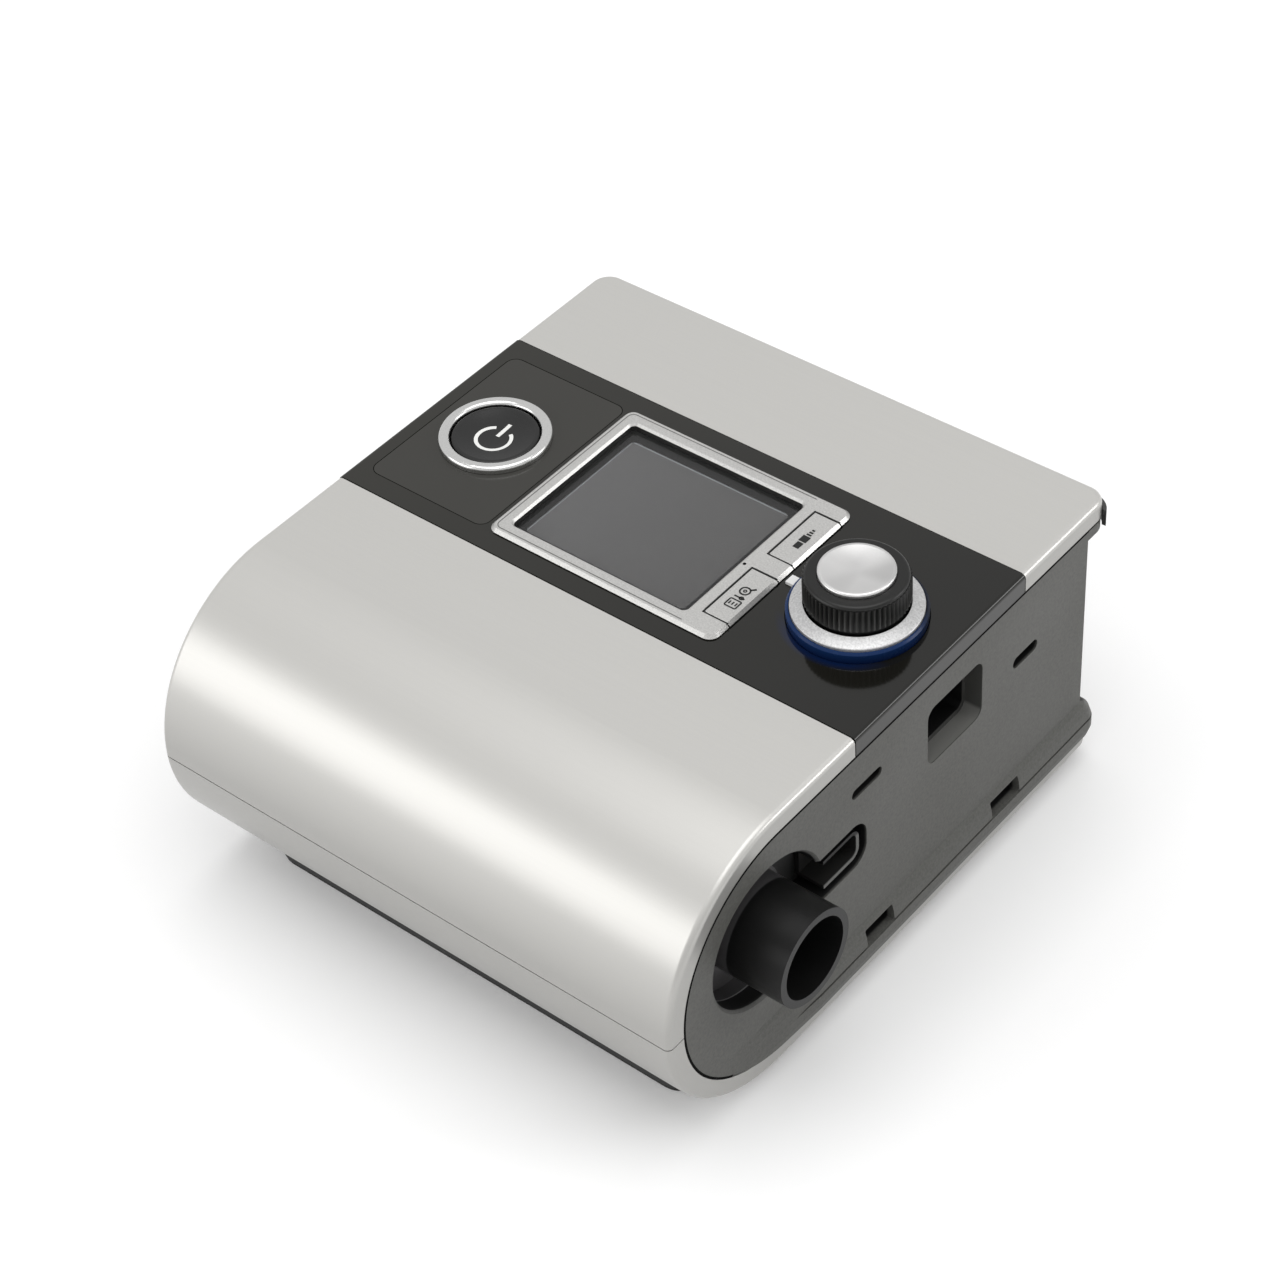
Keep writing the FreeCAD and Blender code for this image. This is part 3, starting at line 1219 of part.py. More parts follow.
def rotor_shaft():
    """Shaft of the blower."""
    z0 = MOTOR_BOTTOM + MOTOR_WALL + 0.4
    return rod("z", BLOWER_X, BLOWER_Y, z0, ROTOR_SHAFT_RADIUS, impeller_bottom() + HUB_HEIGHT - 1 - z0)


def impeller():
    """Wheel with swept blades."""
    z0 = impeller_bottom()
    disc = rod("z", BLOWER_X, BLOWER_Y, z0, IMPELLER_RADIUS, IMPELLER_DISC)
    hub = rod("z", BLOWER_X, BLOWER_Y, z0, HUB_RADIUS, HUB_HEIGHT)
    solids = [disc, hub]
    length = IMPELLER_RADIUS - HUB_RADIUS
    for i in range(BLADE_COUNT):
        blade = box(HUB_RADIUS - 0.8, HUB_RADIUS + length - 1.5, -BLADE_WALL / 2, BLADE_WALL / 2,
                    z0 + IMPELLER_DISC / 2, z0 + IMPELLER_HEIGHT)
        blade.rotate(V(HUB_RADIUS, 0, 0), AXES["z"], -BLADE_SWEEP)
        blade.rotate(V(0, 0, 0), AXES["z"], 360 / BLADE_COUNT * i)
        blade.translate(V(BLOWER_X, BLOWER_Y, 0))
        solids.append(blade)
    wheel = fuse(solids).common(rod("z", BLOWER_X, BLOWER_Y, z0, IMPELLER_RADIUS, IMPELLER_HEIGHT))
    bore_top = z0 + HUB_HEIGHT - 1 + CLEAR
    return cut(wheel, [rod("z", BLOWER_X, BLOWER_Y, z0 - 1, ROTOR_SHAFT_RADIUS + RUNNING_FIT, bore_top - z0 + 1)])


def blower_mounts():
    """Rubber mounts between the base shell and the motor."""
    z0 = FLOOR + BLOWER_PAD_HEIGHT + CLEAR / 2
    return [rod("z", x, y, z0, BLOWER_MOUNT_RADIUS, BLOWER_MOUNT_HEIGHT) for x, y in blower_mount_places()]


def outlet_bellows():
    """Soft rubber sleeve between the blower and the outlet."""
    x0 = SPOUT_END - BELLOWS_OVERLAP
    x1 = SPIGOT_START + BELLOWS_OVERLAP
    inner = SPIGOT_RADIUS + CLEAR
    outer = inner + BELLOWS_WALL
    sleeve = rod("x", x0, OUTLET_Y, OUTLET_Z, outer, x1 - x0)
    solids = [sleeve]
    free = SPIGOT_START - SPOUT_END
    pitch = free / BELLOWS_RIDGE_COUNT
    for i in range(BELLOWS_RIDGE_COUNT):
        x = SPOUT_END + pitch * (i + 0.5) - pitch / 4
        solids.append(rod("x", x, OUTLET_Y, OUTLET_Z, outer + BELLOWS_RIDGE, pitch / 2))
    return cut(fuse(solids), [rod("x", x0 - 1, OUTLET_Y, OUTLET_Z, inner, x1 - x0 + 2)])


# ---- air outlet ----
def outlet_pipe():
    """Air outlet that the breathing tube is pushed on."""
    x1 = HALF + OUTLET_REACH
    flange_x = POCKET_BACK - GASKET - OUTLET_FLANGE
    tube = rod("x", flange_x, OUTLET_Y, OUTLET_Z, OUTLET_RADIUS, x1 - flange_x)
    root = rod("x", flange_x, OUTLET_Y, OUTLET_Z, OUTLET_RADIUS + ROOT_STEP, RECESS_BACK + ROOT_RISE - flange_x)
    spigot = rod("x", SPIGOT_START, OUTLET_Y, OUTLET_Z, SPIGOT_RADIUS, SPIGOT_LENGTH + 1)
    collar = rod("x", flange_x, OUTLET_Y, OUTLET_Z, OUTLET_FLANGE_RADIUS, OUTLET_FLANGE)
    bore = rod("x", SPIGOT_START - 1, OUTLET_Y, OUTLET_Z, OUTLET_BORE, x1 - SPIGOT_START + 2)
    return cut(fuse([tube, root, spigot, collar]), [bore])


def outlet_gasket():
    """Seal between the flange of the outlet and the panel."""
    x0 = POCKET_BACK - GASKET + CLEAR / 2
    return pipe("x", x0, OUTLET_Y, OUTLET_Z, OUTLET_FLANGE_RADIUS, OUTLET_RADIUS + ROOT_STEP + CLEAR, GASKET - CLEAR)


def shroud_outline(inset, x0, x1):
    """Block with the outline of the connector shroud, open towards the outlet."""
    low = CONNECTOR_Z - CONNECTOR_HEIGHT / 2 + inset
    high = CONNECTOR_Z + CONNECTOR_HEIGHT / 2 - inset
    corner = max(CONNECTOR_CORNER - inset, 0.6)
    return side_slab(x0, x1, SHROUD_START_Y - 20, CONNECTOR_END_Y - inset, low, high, corner)


def connector_shroud():
    """Light U-shaped wall in the connector slot."""
    x0 = RECESS_BACK + CLEAR / 2
    x1 = HALF - SHROUD_DEPTH
    wall = shroud_outline(SHROUD_INSET, x0, x1).cut(shroud_outline(SHROUD_INSET + SHROUD_WALL, x0 + 1.2, x1 + 1))
    return wall.common(box(-200, 200, SHROUD_START_Y, 200, 0, 200))


def connector_pins():
    """Contact pins of the humidifier connector."""
    x0 = RECESS_BACK + CLEAR / 2 + 1.2 + CLEAR / 2
    centre = (SHROUD_START_Y + CONNECTOR_END_Y - SHROUD_INSET - SHROUD_WALL) / 2
    first = centre - PIN_PITCH * (PIN_COUNT - 1) / 2
    return [rod("x", x0, first + PIN_PITCH * i, CONNECTOR_Z, PIN_RADIUS, PIN_LENGTH) for i in range(PIN_COUNT)]


# ---- rear ports ----
def cover_places():
    """Centre and size of the two hinged covers: filter, then module."""
    return [(FILTER_X, FILTER_Z, FILTER_WIDTH, FILTER_HEIGHT), (MODULE_X, MODULE_Z, MODULE_WIDTH, MODULE_HEIGHT)]


def cover_pin_y():
    """Depth of the hinge axis of a cover."""
    return REAR_WALL_REACH - COVER_BARREL


def hinged_cover(x, z, width, height):
    """Cover that turns about pins along its lower edge."""
    half = width / 2 - COVER_GAP
    bottom = z - height / 2 + COVER_GAP
    pin_z = bottom + COVER_BARREL
    top = z + height / 2 - COVER_GAP
    plate = box(x - half, x + half, REAR_WALL_REACH - COVER_THICKNESS, REAR_WALL_REACH, pin_z, top)
    barrel = rod("x", x - half, cover_pin_y(), pin_z, COVER_BARREL, 2 * half)
    reach = half + COVER_GAP + COVER_PIN_REACH - 0.2
    pin = rod("x", x - reach, cover_pin_y(), pin_z, COVER_PIN_RADIUS, 2 * reach)
    grip = box(x - 4, x + 4, REAR_WALL_REACH - 0.8, REAR_WALL_REACH + 1, top - 2.2, top + 1)
    return fuse([plate, barrel, pin]).cut(grip)


def filter_cover():
    """Hinged cover with louvres over the air filter."""
    x, z, width, height = cover_places()[0]
    cover = hinged_cover(x, z, width, height)
    half = width / 2 - LOUVRE_MARGIN
    first = z - height / 2 + LOUVRE_MARGIN + 1
    pitch = (height - 2 * LOUVRE_MARGIN) / LOUVRE_COUNT
    tools = []
    for i in range(LOUVRE_COUNT):
        z0 = first + pitch * i
        tools.append(rear_slab(x - half, x + half, REAR_WALL_REACH - 5, REAR_WALL_REACH + 1,
                               z0, z0 + LOUVRE_HEIGHT, LOUVRE_HEIGHT / 2 - 0.05))
    return cut(cover, tools)


def module_cover():
    """Hinged cover over the module socket."""
    return hinged_cover(*cover_places()[1])


def air_filter():
    """Filter pad behind its cover."""
    half = FILTER_WIDTH / 2 - DUCT_MARGIN / 2
    tall = FILTER_HEIGHT / 2 - DUCT_MARGIN / 2
    y1 = WALL_INNER - COVER_GAP
    return box(FILTER_X - half, FILTER_X + half, y1 - FILTER_PAD, y1, FILTER_Z - tall, FILTER_Z + tall)


def duct_box(inset, y0, y1):
    """Block with the outline of the inlet duct."""
    half = FILTER_WIDTH / 2 + DUCT_MARGIN - inset
    tall = FILTER_HEIGHT / 2 + DUCT_MARGIN - inset
    return box(FILTER_X - half, FILTER_X + half, y0, y1, FILTER_Z - tall, FILTER_Z + tall)


def inlet_duct():
    """Duct from the filter, with its mouth towards the blower."""
    y1 = WALL_INNER - CLEAR
    y0 = y1 - DUCT_LENGTH
    shell = duct_box(0, y0, y1).cut(duct_box(DUCT_WALL, y0 + DUCT_WALL, y1 + 1))
    mouth = box(FILTER_X - 8, FILTER_X + 14, y0 - 1, y0 + DUCT_WALL + 1, FILTER_Z - 8, FILTER_Z + 8)
    half = FILTER_WIDTH / 2 + DUCT_MARGIN
    bottom = FILTER_Z - FILTER_HEIGHT / 2 - DUCT_MARGIN
    feet = []
    for side in (-1, 1):
        x = FILTER_X + side * (half - 5)
        feet.append(box(x - 2, x + 2, y0 + 2, y1 - 6, FLOOR + CLEAR / 2, bottom + 0.5))
    return cut(fuse([shell] + feet), [mouth])


def inlet_foam():
    """Sound-absorbing foam in the duct, with a passage through it."""
    y1 = WALL_INNER - CLEAR - FILTER_PAD - FOAM_GAP
    inset = DUCT_WALL + CLEAR
    block = duct_box(inset, y1 - FOAM_LENGTH, y1)
    passage = rod("y", FILTER_X, y1 - FOAM_LENGTH - 1, FILTER_Z, FOAM_SLOT, FOAM_LENGTH + 2)
    return block.cut(passage)


def module_socket():
    """Box behind the module cover with its plug connector."""
    half = MODULE_WIDTH / 2 + 1.2
    tall = MODULE_HEIGHT / 2 + 1.2
    y1 = WALL_INNER - CLEAR
    y0 = y1 - MODULE_POCKET
    case = box(MODULE_X - half, MODULE_X + half, y0 - 1.5, y1, MODULE_Z - tall, MODULE_Z + tall)
    inside = box(MODULE_X - half + 1.6, MODULE_X + half - 1.6, y0, y1 + 1,
                 MODULE_Z - tall + 1.6, MODULE_Z + tall - 1.6)
    x0 = MODULE_X - MODULE_PLUG_WIDTH / 2
    plug = box(x0, x0 + MODULE_PLUG_WIDTH, y0 - 0.5, y0 + 3, MODULE_Z - 8, MODULE_Z - 8 + MODULE_PLUG_HEIGHT)
    stem = box(MODULE_X - 3, MODULE_X + 3, y0 - 1.5, y0 + 3, FLOOR + CLEAR / 2, MODULE_Z - tall + 0.5)
    return fuse([case.cut(inside), plug, stem])


def port_flange(x, z, half, tall):
    """Rim of a socket on the outside of the rear panel."""
    y0 = REAR_WALL_REACH + CLEAR / 2
    return rear_slab(x - half, x + half, y0, y0 + PORT_FLANGE, z - tall, z + tall, 2.5)


def dc_inlet():
    """Round low-voltage socket."""
    y1 = REAR_WALL_REACH + CLEAR / 2 + PORT_FLANGE
    rim = rod("y", DC_X, y1 - PORT_FLANGE, DC_Z, DC_RADIUS + PORT_FLANGE_RIM, PORT_FLANGE)
    body = rod("y", DC_X, y1 - DC_LENGTH, DC_Z, DC_RADIUS, DC_LENGTH)
    bore = rod("y", DC_X, y1 - DC_DEPTH, DC_Z, DC_BORE, DC_DEPTH + 1)
    return cut(fuse([rim, body]), [bore])


def ac_recess(y0, y1):
    """Figure-eight hollow of the mains socket."""
    lobes = []
    for side in (-1, 1):
        lobes.append(rod("y", AC_X + side * AC_LOBE_PITCH / 2, y0, AC_Z, AC_LOBE_RADIUS, y1 - y0))
    half = AC_LOBE_PITCH / 2
    lobes.append(box(AC_X - half, AC_X + half, y0, y1, AC_Z - AC_LOBE_RADIUS + 1, AC_Z + AC_LOBE_RADIUS - 1))
    return fuse(lobes)


def ac_inlet():
    """Mains socket with a figure-eight hollow."""
    y1 = REAR_WALL_REACH + CLEAR / 2 + PORT_FLANGE
    rim = port_flange(AC_X, AC_Z, AC_WIDTH / 2 + PORT_FLANGE_RIM, AC_HEIGHT / 2 + PORT_FLANGE_RIM)
    half = AC_WIDTH / 2
    tall = AC_HEIGHT / 2
    body = rear_slab(AC_X - half, AC_X + half, y1 - AC_LENGTH, y1 - 0.2, AC_Z - tall, AC_Z + tall, 2)
    return cut(fuse([rim, body]), [ac_recess(y1 - AC_DEPTH, y1 + 1)])


def inlet_pins():
    """Two contact pins of the mains socket."""
    y0 = REAR_WALL_REACH + CLEAR / 2 + PORT_FLANGE - AC_DEPTH + CLEAR / 2
    solids = []
    for side in (-1, 1):
        x = AC_X + side * AC_LOBE_PITCH / 2
        solids.append(rod("y", x, y0, AC_Z, AC_PIN_RADIUS, AC_PIN_LENGTH))
    return solids


# ---- power supply ----
def supply_board():
    """Circuit board of the power supply."""
    return box(SUPPLY_LEFT, SUPPLY_RIGHT, SUPPLY_FRONT, SUPPLY_REAR, SUPPLY_HEIGHT, SUPPLY_HEIGHT + BOARD)


def supply_surface():
    """Height that the components of the power supply stand at."""
    return SUPPLY_HEIGHT + BOARD + CLEAR / 2


def transformer():
    """Transformer of the power supply."""
    x0 = SUPPLY_LEFT + 3
    x1 = x0 + TRANSFORMER_WIDTH
    y0 = SUPPLY_FRONT + 4
    y1 = SUPPLY_REAR - CAPACITOR_EDGE - 2 * CAPACITOR_RADIUS - COMPONENT_GAP
    z0 = supply_surface()
    core = box(x0, x1, y0, y1, z0, z0 + TRANSFORMER_HEIGHT)
    coil = box(x0 - 1.5, x1 + 1.5, y0 + 4, y1 - 4, z0 + 3, z0 + TRANSFORMER_HEIGHT - 3)
    return fuse([core, coil])


def capacitors():
    """Two smoothing capacitors."""
    x = SUPPLY_LEFT + 4 + CAPACITOR_RADIUS
    y = SUPPLY_REAR - CAPACITOR_EDGE - CAPACITOR_RADIUS
    solids = []
    for i in range(2):
        solids.append(rod("z", x + CAPACITOR_PITCH * i, y, supply_surface(), CAPACITOR_RADIUS, CAPACITOR_HEIGHT))
    return solids


def heatsink():
    """Finned aluminium plate on the power supply board."""
    x1 = SUPPLY_RIGHT - 2
    y0 = (SUPPLY_FRONT + SUPPLY_REAR - HEATSINK_LENGTH) / 2
    z0 = supply_surface()
    plate = box(x1 - HEATSINK_BASE, x1, y0, y0 + HEATSINK_LENGTH, z0, z0 + HEATSINK_HEIGHT)
    solids = [plate]
    pitch = (HEATSINK_LENGTH - FIN_WALL) / (FIN_COUNT - 1)
    for i in range(FIN_COUNT):
        y = y0 + pitch * i
        solids.append(box(x1 - HEATSINK_BASE - FIN_LENGTH, x1 - 1, y, y + FIN_WALL, z0, z0 + HEATSINK_HEIGHT))
    return fuse(solids)


def nodes():
    """Every node of the machine with its shape."""
    names = {name: key(y) for name, y in key_places()}
    builders = [
        front_cover, rear_cover, base_shell, plinth, rubber_feet, side_panel_right, side_panel_left,
        rear_panel, rear_trim, control_band, button_inlay, display_frame, display_lens, display_mask,
        display_module, key_switches, power_ring, power_button, power_switch, dial_light_ring,
        dial_base_ring, dial_knob, dial_cap, dial_shaft, encoder_collar, encoder_body, dial_marker,
        control_board, board_screws, inner_frame, base_screws, blower_upper, blower_lower, motor_can,
        motor_bearings, motor_stator, rotor_magnet, rotor_shaft, impeller, blower_mounts, outlet_bellows,
        outlet_pipe, outlet_gasket, connector_shroud, connector_pins, filter_cover, module_cover,
        air_filter, inlet_duct, inlet_foam, module_socket, dc_inlet, ac_inlet, inlet_pins, supply_board,
        transformer, capacitors, heatsink,
    ]
    for builder in builders:
        names[builder.__name__] = builder()
    return names


def main():
    """Write one STEP file for each node."""
    os.makedirs("parts", exist_ok=True)
    for name, shape in nodes().items():
        solids = shape if isinstance(shape, list) else shape.Solids
        result = solids[0] if len(solids) == 1 else Part.makeCompound(solids)
        result.exportStep("parts/" + name + ".step")


main()
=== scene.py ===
import bpy
import json
import math
from mathutils import Matrix, Vector


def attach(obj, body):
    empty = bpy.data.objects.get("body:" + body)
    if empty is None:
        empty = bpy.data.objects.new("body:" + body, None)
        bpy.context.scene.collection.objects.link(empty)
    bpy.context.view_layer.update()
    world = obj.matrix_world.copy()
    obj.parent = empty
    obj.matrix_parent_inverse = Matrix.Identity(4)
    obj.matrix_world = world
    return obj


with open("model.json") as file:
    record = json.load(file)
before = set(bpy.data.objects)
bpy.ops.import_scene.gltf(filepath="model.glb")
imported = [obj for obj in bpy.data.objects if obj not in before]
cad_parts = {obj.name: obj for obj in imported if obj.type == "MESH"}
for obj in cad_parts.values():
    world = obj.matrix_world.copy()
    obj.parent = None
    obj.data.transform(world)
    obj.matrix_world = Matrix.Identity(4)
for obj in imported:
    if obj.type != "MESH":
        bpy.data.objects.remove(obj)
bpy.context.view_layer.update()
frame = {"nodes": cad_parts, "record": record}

MM = 0.001
TO_MM = 1000
nodes = frame["nodes"]
scene = bpy.context.scene

# ---- places and sizes of the part that the looks, marks and lines follow, in millimetres ----
BUTTON = (-49.7, 14.1)
BUTTON_TOP = 74.6
BUTTON_DISH = 0.9  # depth of the dish in its top
BUTTON_BALL = 43.47  # radius of the ball that the dish fits
DIAL = (48.1, 14.1, 0)
KNOB_GROOVE = 10.9
KNOB_RIDGE = 11.2
KNOB_BLEND = 0.1
LIGHT_RING_FOOT = 73.2
LIGHT_RING_TOP = 76.0
LIGHT_RING_SHADE = (13.1, 21.1)  # where painted shade turns it from blue to dark, from front to rear
BAND_SHADE = (110.0, -140.0)  # where the painted shade on the band would be deepest, and where the band has its full colour
REFLECTION_RADII = (15.4, 17.0)  # radii of the painted reflection of the light ring, from the dial's axis
REFLECTION_REAR = (-14.0, -8.0)  # where the painted reflection ends, as seen from the dial's axis
SCREEN_LEFT = -25.4
SCREEN_RIGHT = 14.0
SCREEN_REAR = 31.8
SCREEN_HIGHLIGHT = (0.3, 0.4)  # width of the painted highlight along the edge at the left and at the rear
CELL_PITCH = 0.22
FRAME_TOP = 74.6
FRAME_EDGE = 29.3
FRAME_LEFT = -31.15
FRAME_FRONT = -10.2
FRAME_REAR = 38.4
KEY_X = 26.2
KEY_TOP = 74.6
KEY_LEFT = 22.65
KEY_HALF = 8.25
INFO_KEY_Y = 25.5
SETUP_KEY_Y = 3.8
PANEL_FACE = 69.2
SKIRT_TOP = 13.2
LATCH_LOW = (50, 8, 44)
LATCH_HIGH = (80, 30, 63)
# where the latch's painted shade turns near black, across the panel
LATCH_FLOOR = (64.6, 65.0)
OUTLET = (0, -44.6, 43.8)
OUTLET_ROOT = (67.0, 67.3)
RECESS_RADIUS = 17.7
RECESS_REAR = 6  # how far behind the outlet's axis its look ends
# step in the outlet's recess, with the width of the painted highlight line at it
RECESS_STEP = 64.5
RECESS_HIGHLIGHT = 0.3
# where the painted shade on the connector housing ends, across the panel and downwards
SHROUD_END = (68.45, 68.65)
SHROUD_LIP = (46.4, 45.4)
PLINTH_BOX = (-59.0, 59.0, -60.9, 58.0)

# ---- sizes of the printed marks, and of the lines that paint shade in gaps and a groove, in millimetres ----
PRINT_RISE = 0.03
KEY_LINE = 0.34
KEY_LINE_CORNER = 0.8
GROOVE_LINE = 0.22
GROOVE_INSET = 1.35
GROOVE_CORNER = 1.4
GROOVE_END = 2.0
CORNER_STEPS = 5
SEAM_REACH = (-0.12, 0.42)  # from inside the panel's edge to outside it
SEAM_RISE = 0.02
FLAT_SLACK = 0.03
FLAT_NORMAL = 0.99
# sizes of the rubber lip that stands as the shade under the plinth
LIP_INSET = 0.2
LIP_WIDTH = 1.4
LIP_CORNER = 5.8
LIP_LOW = 0.05
LIP_HIGH = 0.85
LIP_STEPS = 6


# ---- camera, light and floor ----
def add_camera():
    """The photograph's view, solved from the edges of the casing."""
    forward = Vector((-0.49147581, 0.54275907, -0.68107571))
    right = Vector((0.77476156, 0.62965142, -0.0573028))
    up = Vector((-0.39773868, 0.55583422, 0.7299673))
    eye = Vector((331.3737, -365.0589, 509.3599))
    data = bpy.data.cameras.new("camera")
    data.lens = 88.756
    data.sensor_width = 36
    data.clip_start = 0.01
    data.clip_end = 20
    camera = bpy.data.objects.new("camera", data)
    scene.collection.objects.link(camera)
    place = Matrix([(right[i], up[i], -forward[i]) for i in range(3)]).to_4x4()
    place.translation = eye * MM
    camera.matrix_world = place
    scene.camera = camera


def add_lamp(name, place, target, width, height, watts):
    """Soft rectangular lamp aimed at a point. Its places and sizes are in metres."""
    data = bpy.data.lights.new(name, "AREA")
    data.shape = "RECTANGLE"
    data.size = width
    data.size_y = height
    data.energy = watts
    lamp = bpy.data.objects.new(name, data)
    lamp.location = place
    lamp.rotation_euler = (Vector(target) - Vector(place)).to_track_quat("-Z", "Y").to_euler()
    scene.collection.objects.link(lamp)


def add_floor(reach, drop):
    """Plain pale square floor just under the part, in metres."""
    mesh = bpy.data.meshes.new("floor")
    corners = [(-reach, -reach, 0), (reach, -reach, 0), (reach, reach, 0), (-reach, reach, 0)]
    mesh.from_pydata(corners, [], [(0, 1, 2, 3)])
    floor = bpy.data.objects.new("floor", mesh)
    scene.collection.objects.link(floor)
    floor.location.z = -drop
    mesh.materials.append(floor_paint("floor_paint"))


def add_studio():
    """Pale room, floor and three soft lamps."""
    world = bpy.data.worlds.new("room")
    world.use_nodes = True
    background = world.node_tree.nodes["Background"]
    background.inputs["Color"].default_value = (1, 1, 1, 1)
    background.inputs["Strength"].default_value = 0.67
    scene.world = world
    add_floor(reach=4, drop=0.00005)
    add_lamp("top_lamp", (0.1, 0, 1.9), (0, 0, 0), width=1.7, height=1.7, watts=15)
    add_lamp("nose_lamp", (-0.83, -1.3, 0.6), (0, -0.05, 0.04), width=1.3, height=0.84, watts=5.9)
    add_lamp("edge_lamp", (1.15, 0.9, 0.75), (0, 0, 0.05), width=0.7, height=0.5, watts=4)


# ---- colours and material nodes ----
def grey(value):
    """Neutral colour."""
    return value, value, value


def shade(colour, factor):
    """Lighter or darker colour."""
    return tuple(min(1.0, c * factor) for c in colour)


NEAR_BLACK = grey(0.004)


def start(name):
    """New material, with its node tree and its shader."""
    material = bpy.data.materials.new(name)
    material.use_nodes = True
    tree = material.node_tree
    return material, tree, tree.nodes["Principled BSDF"]


def reopen(material):
    """Node tree and shader of a finished material, and the output that feeds its colour."""
    tree = material.node_tree
    shader = tree.nodes["Principled BSDF"]
    return tree, shader, shader.inputs["Base Color"].links[0].from_socket


def feed(tree, target, value):
    """Link an output to a socket, or set the socket to a constant."""
    if isinstance(value, bpy.types.NodeSocket):
        tree.links.new(value, target)
    else:
        target.default_value = value


def coordinates(tree, stretch=(1, 1, 1)):
    """Place on the object in millimetres, stretched along the axes."""
    source = tree.nodes.new("ShaderNodeTexCoord")
    mapping = tree.nodes.new("ShaderNodeMapping")
    mapping.inputs["Scale"].default_value = [TO_MM * s for s in stretch]
    tree.links.new(source.outputs["Object"], mapping.inputs["Vector"])
    return mapping.outputs["Vector"]


def around(tree, centre, along):
    """Place seen from a line along an axis, and the distance from the line, in millimetres."""
    source = tree.nodes.new("ShaderNodeTexCoord")
    mapping = tree.nodes.new("ShaderNodeMapping")
    mapping.inputs["Location"].default_value = [-c for c in centre]
    mapping.inputs["Scale"].default_value = [0 if axis == along else TO_MM for axis in "XYZ"]
    tree.links.new(source.outputs["Object"], mapping.inputs["Vector"])
    length = tree.nodes.new("ShaderNodeVectorMath")
    length.operation = "LENGTH"
    tree.links.new(mapping.outputs["Vector"], length.inputs[0])
    return mapping.outputs["Vector"], length.outputs["Value"]


def axes(tree, vector):
    """The three values of a vector, by the letter of their axis."""
    split = tree.nodes.new("ShaderNodeSeparateXYZ")
    tree.links.new(vector, split.inputs["Vector"])
    return split.outputs


def facing_up(tree):
    """How far the surface faces up: one on top, nothing on a wall, and less than nothing below."""
    source = tree.nodes.new("ShaderNodeTexCoord")
    return axes(tree, source.outputs["Normal"])["Z"]


def noise(tree, vector, scale, detail=2.0, roughness=0.5):
    """Noise with a number of cells to the millimetre."""
    node = tree.nodes.new("ShaderNodeTexNoise")
    tree.links.new(vector, node.inputs["Vector"])
    node.inputs["Scale"].default_value = scale
    node.inputs["Detail"].default_value = detail
    node.inputs["Roughness"].default_value = roughness
    return node.outputs["Fac"]


def noise_along(tree, value, scale, detail):
    """Noise along one value."""
    node = tree.nodes.new("ShaderNodeTexNoise")
    node.noise_dimensions = "1D"
    node.inputs["Scale"].default_value = scale
    node.inputs["Detail"].default_value = detail
    tree.links.new(value, node.inputs["W"])
    return node.outputs["Fac"]


def spread(tree, value, low, high, start_at=0.3, end_at=0.7):
    """Value brought from one range into another."""
    node = tree.nodes.new("ShaderNodeMapRange")
    feed(tree, node.inputs["Value"], value)
    node.inputs["From Min"].default_value = start_at
    node.inputs["From Max"].default_value = end_at
    node.inputs["To Min"].default_value = low
    node.inputs["To Max"].default_value = high
    return node.outputs["Result"]


def rise(tree, value, start_at=0.3, end_at=0.7):
    """Nothing at the start of a range and one at its end."""
    return spread(tree, value, 0.0, 1.0, start_at, end_at)


def fall(tree, value, start_at, end_at):
    """One at the start of a range and nothing at its end."""
    return spread(tree, value, 1.0, 0.0, start_at, end_at)


def tint(tree, factor, first, second, mode="MIX"):
    """Colour between two colours, or another blend of them."""
    node = tree.nodes.new("ShaderNodeMix")
    node.data_type = "RGBA"
    node.blend_type = mode
    feed(tree, node.inputs["Factor"], factor)
    for socket, colour in (("A", first), ("B", second)):
        linked = isinstance(colour, bpy.types.NodeSocket)
        feed(tree, node.inputs[socket], colour if linked else (*colour, 1))
    return node.outputs["Result"]


def toned(tree, factor, colour, low, high):
    """Colour between a darker and a lighter shade of itself."""
    return tint(tree, factor, shade(colour, low), shade(colour, high))


def combine(tree, operation, first, second=0.0):
    """Arithmetic on one or two values."""
    node = tree.nodes.new("ShaderNodeMath")
    node.operation = operation
    feed(tree, node.inputs[0], first)
    feed(tree, node.inputs[1], second)
    return node.outputs["Value"]


def bump(tree, height, depth_mm):
    """Relief of a depth given in millimetres."""
    node = tree.nodes.new("ShaderNodeBump")
    node.inputs["Distance"].default_value = depth_mm * MM
    tree.links.new(height, node.inputs["Height"])
    return node.outputs["Normal"]


def faded(tree, place, surface, other, axis, other_at, surface_at):
    """Surface colour that goes over into another colour between two places on an axis."""
    return tint(tree, rise(tree, axes(tree, place)[axis], other_at, surface_at), other, surface)


def inside(tree, place, low, high):
    """One inside the block between two corners in millimetres, and nothing outside it."""
    part = axes(tree, place)
    result = None
    for axis, least, most in zip("XYZ", low, high):
        above = combine(tree, "GREATER_THAN", part[axis], least)
        below = combine(tree, "LESS_THAN", part[axis], most)
        both = combine(tree, "MULTIPLY", above, below)
        result = both if result is None else combine(tree, "MULTIPLY", result, both)
    return result


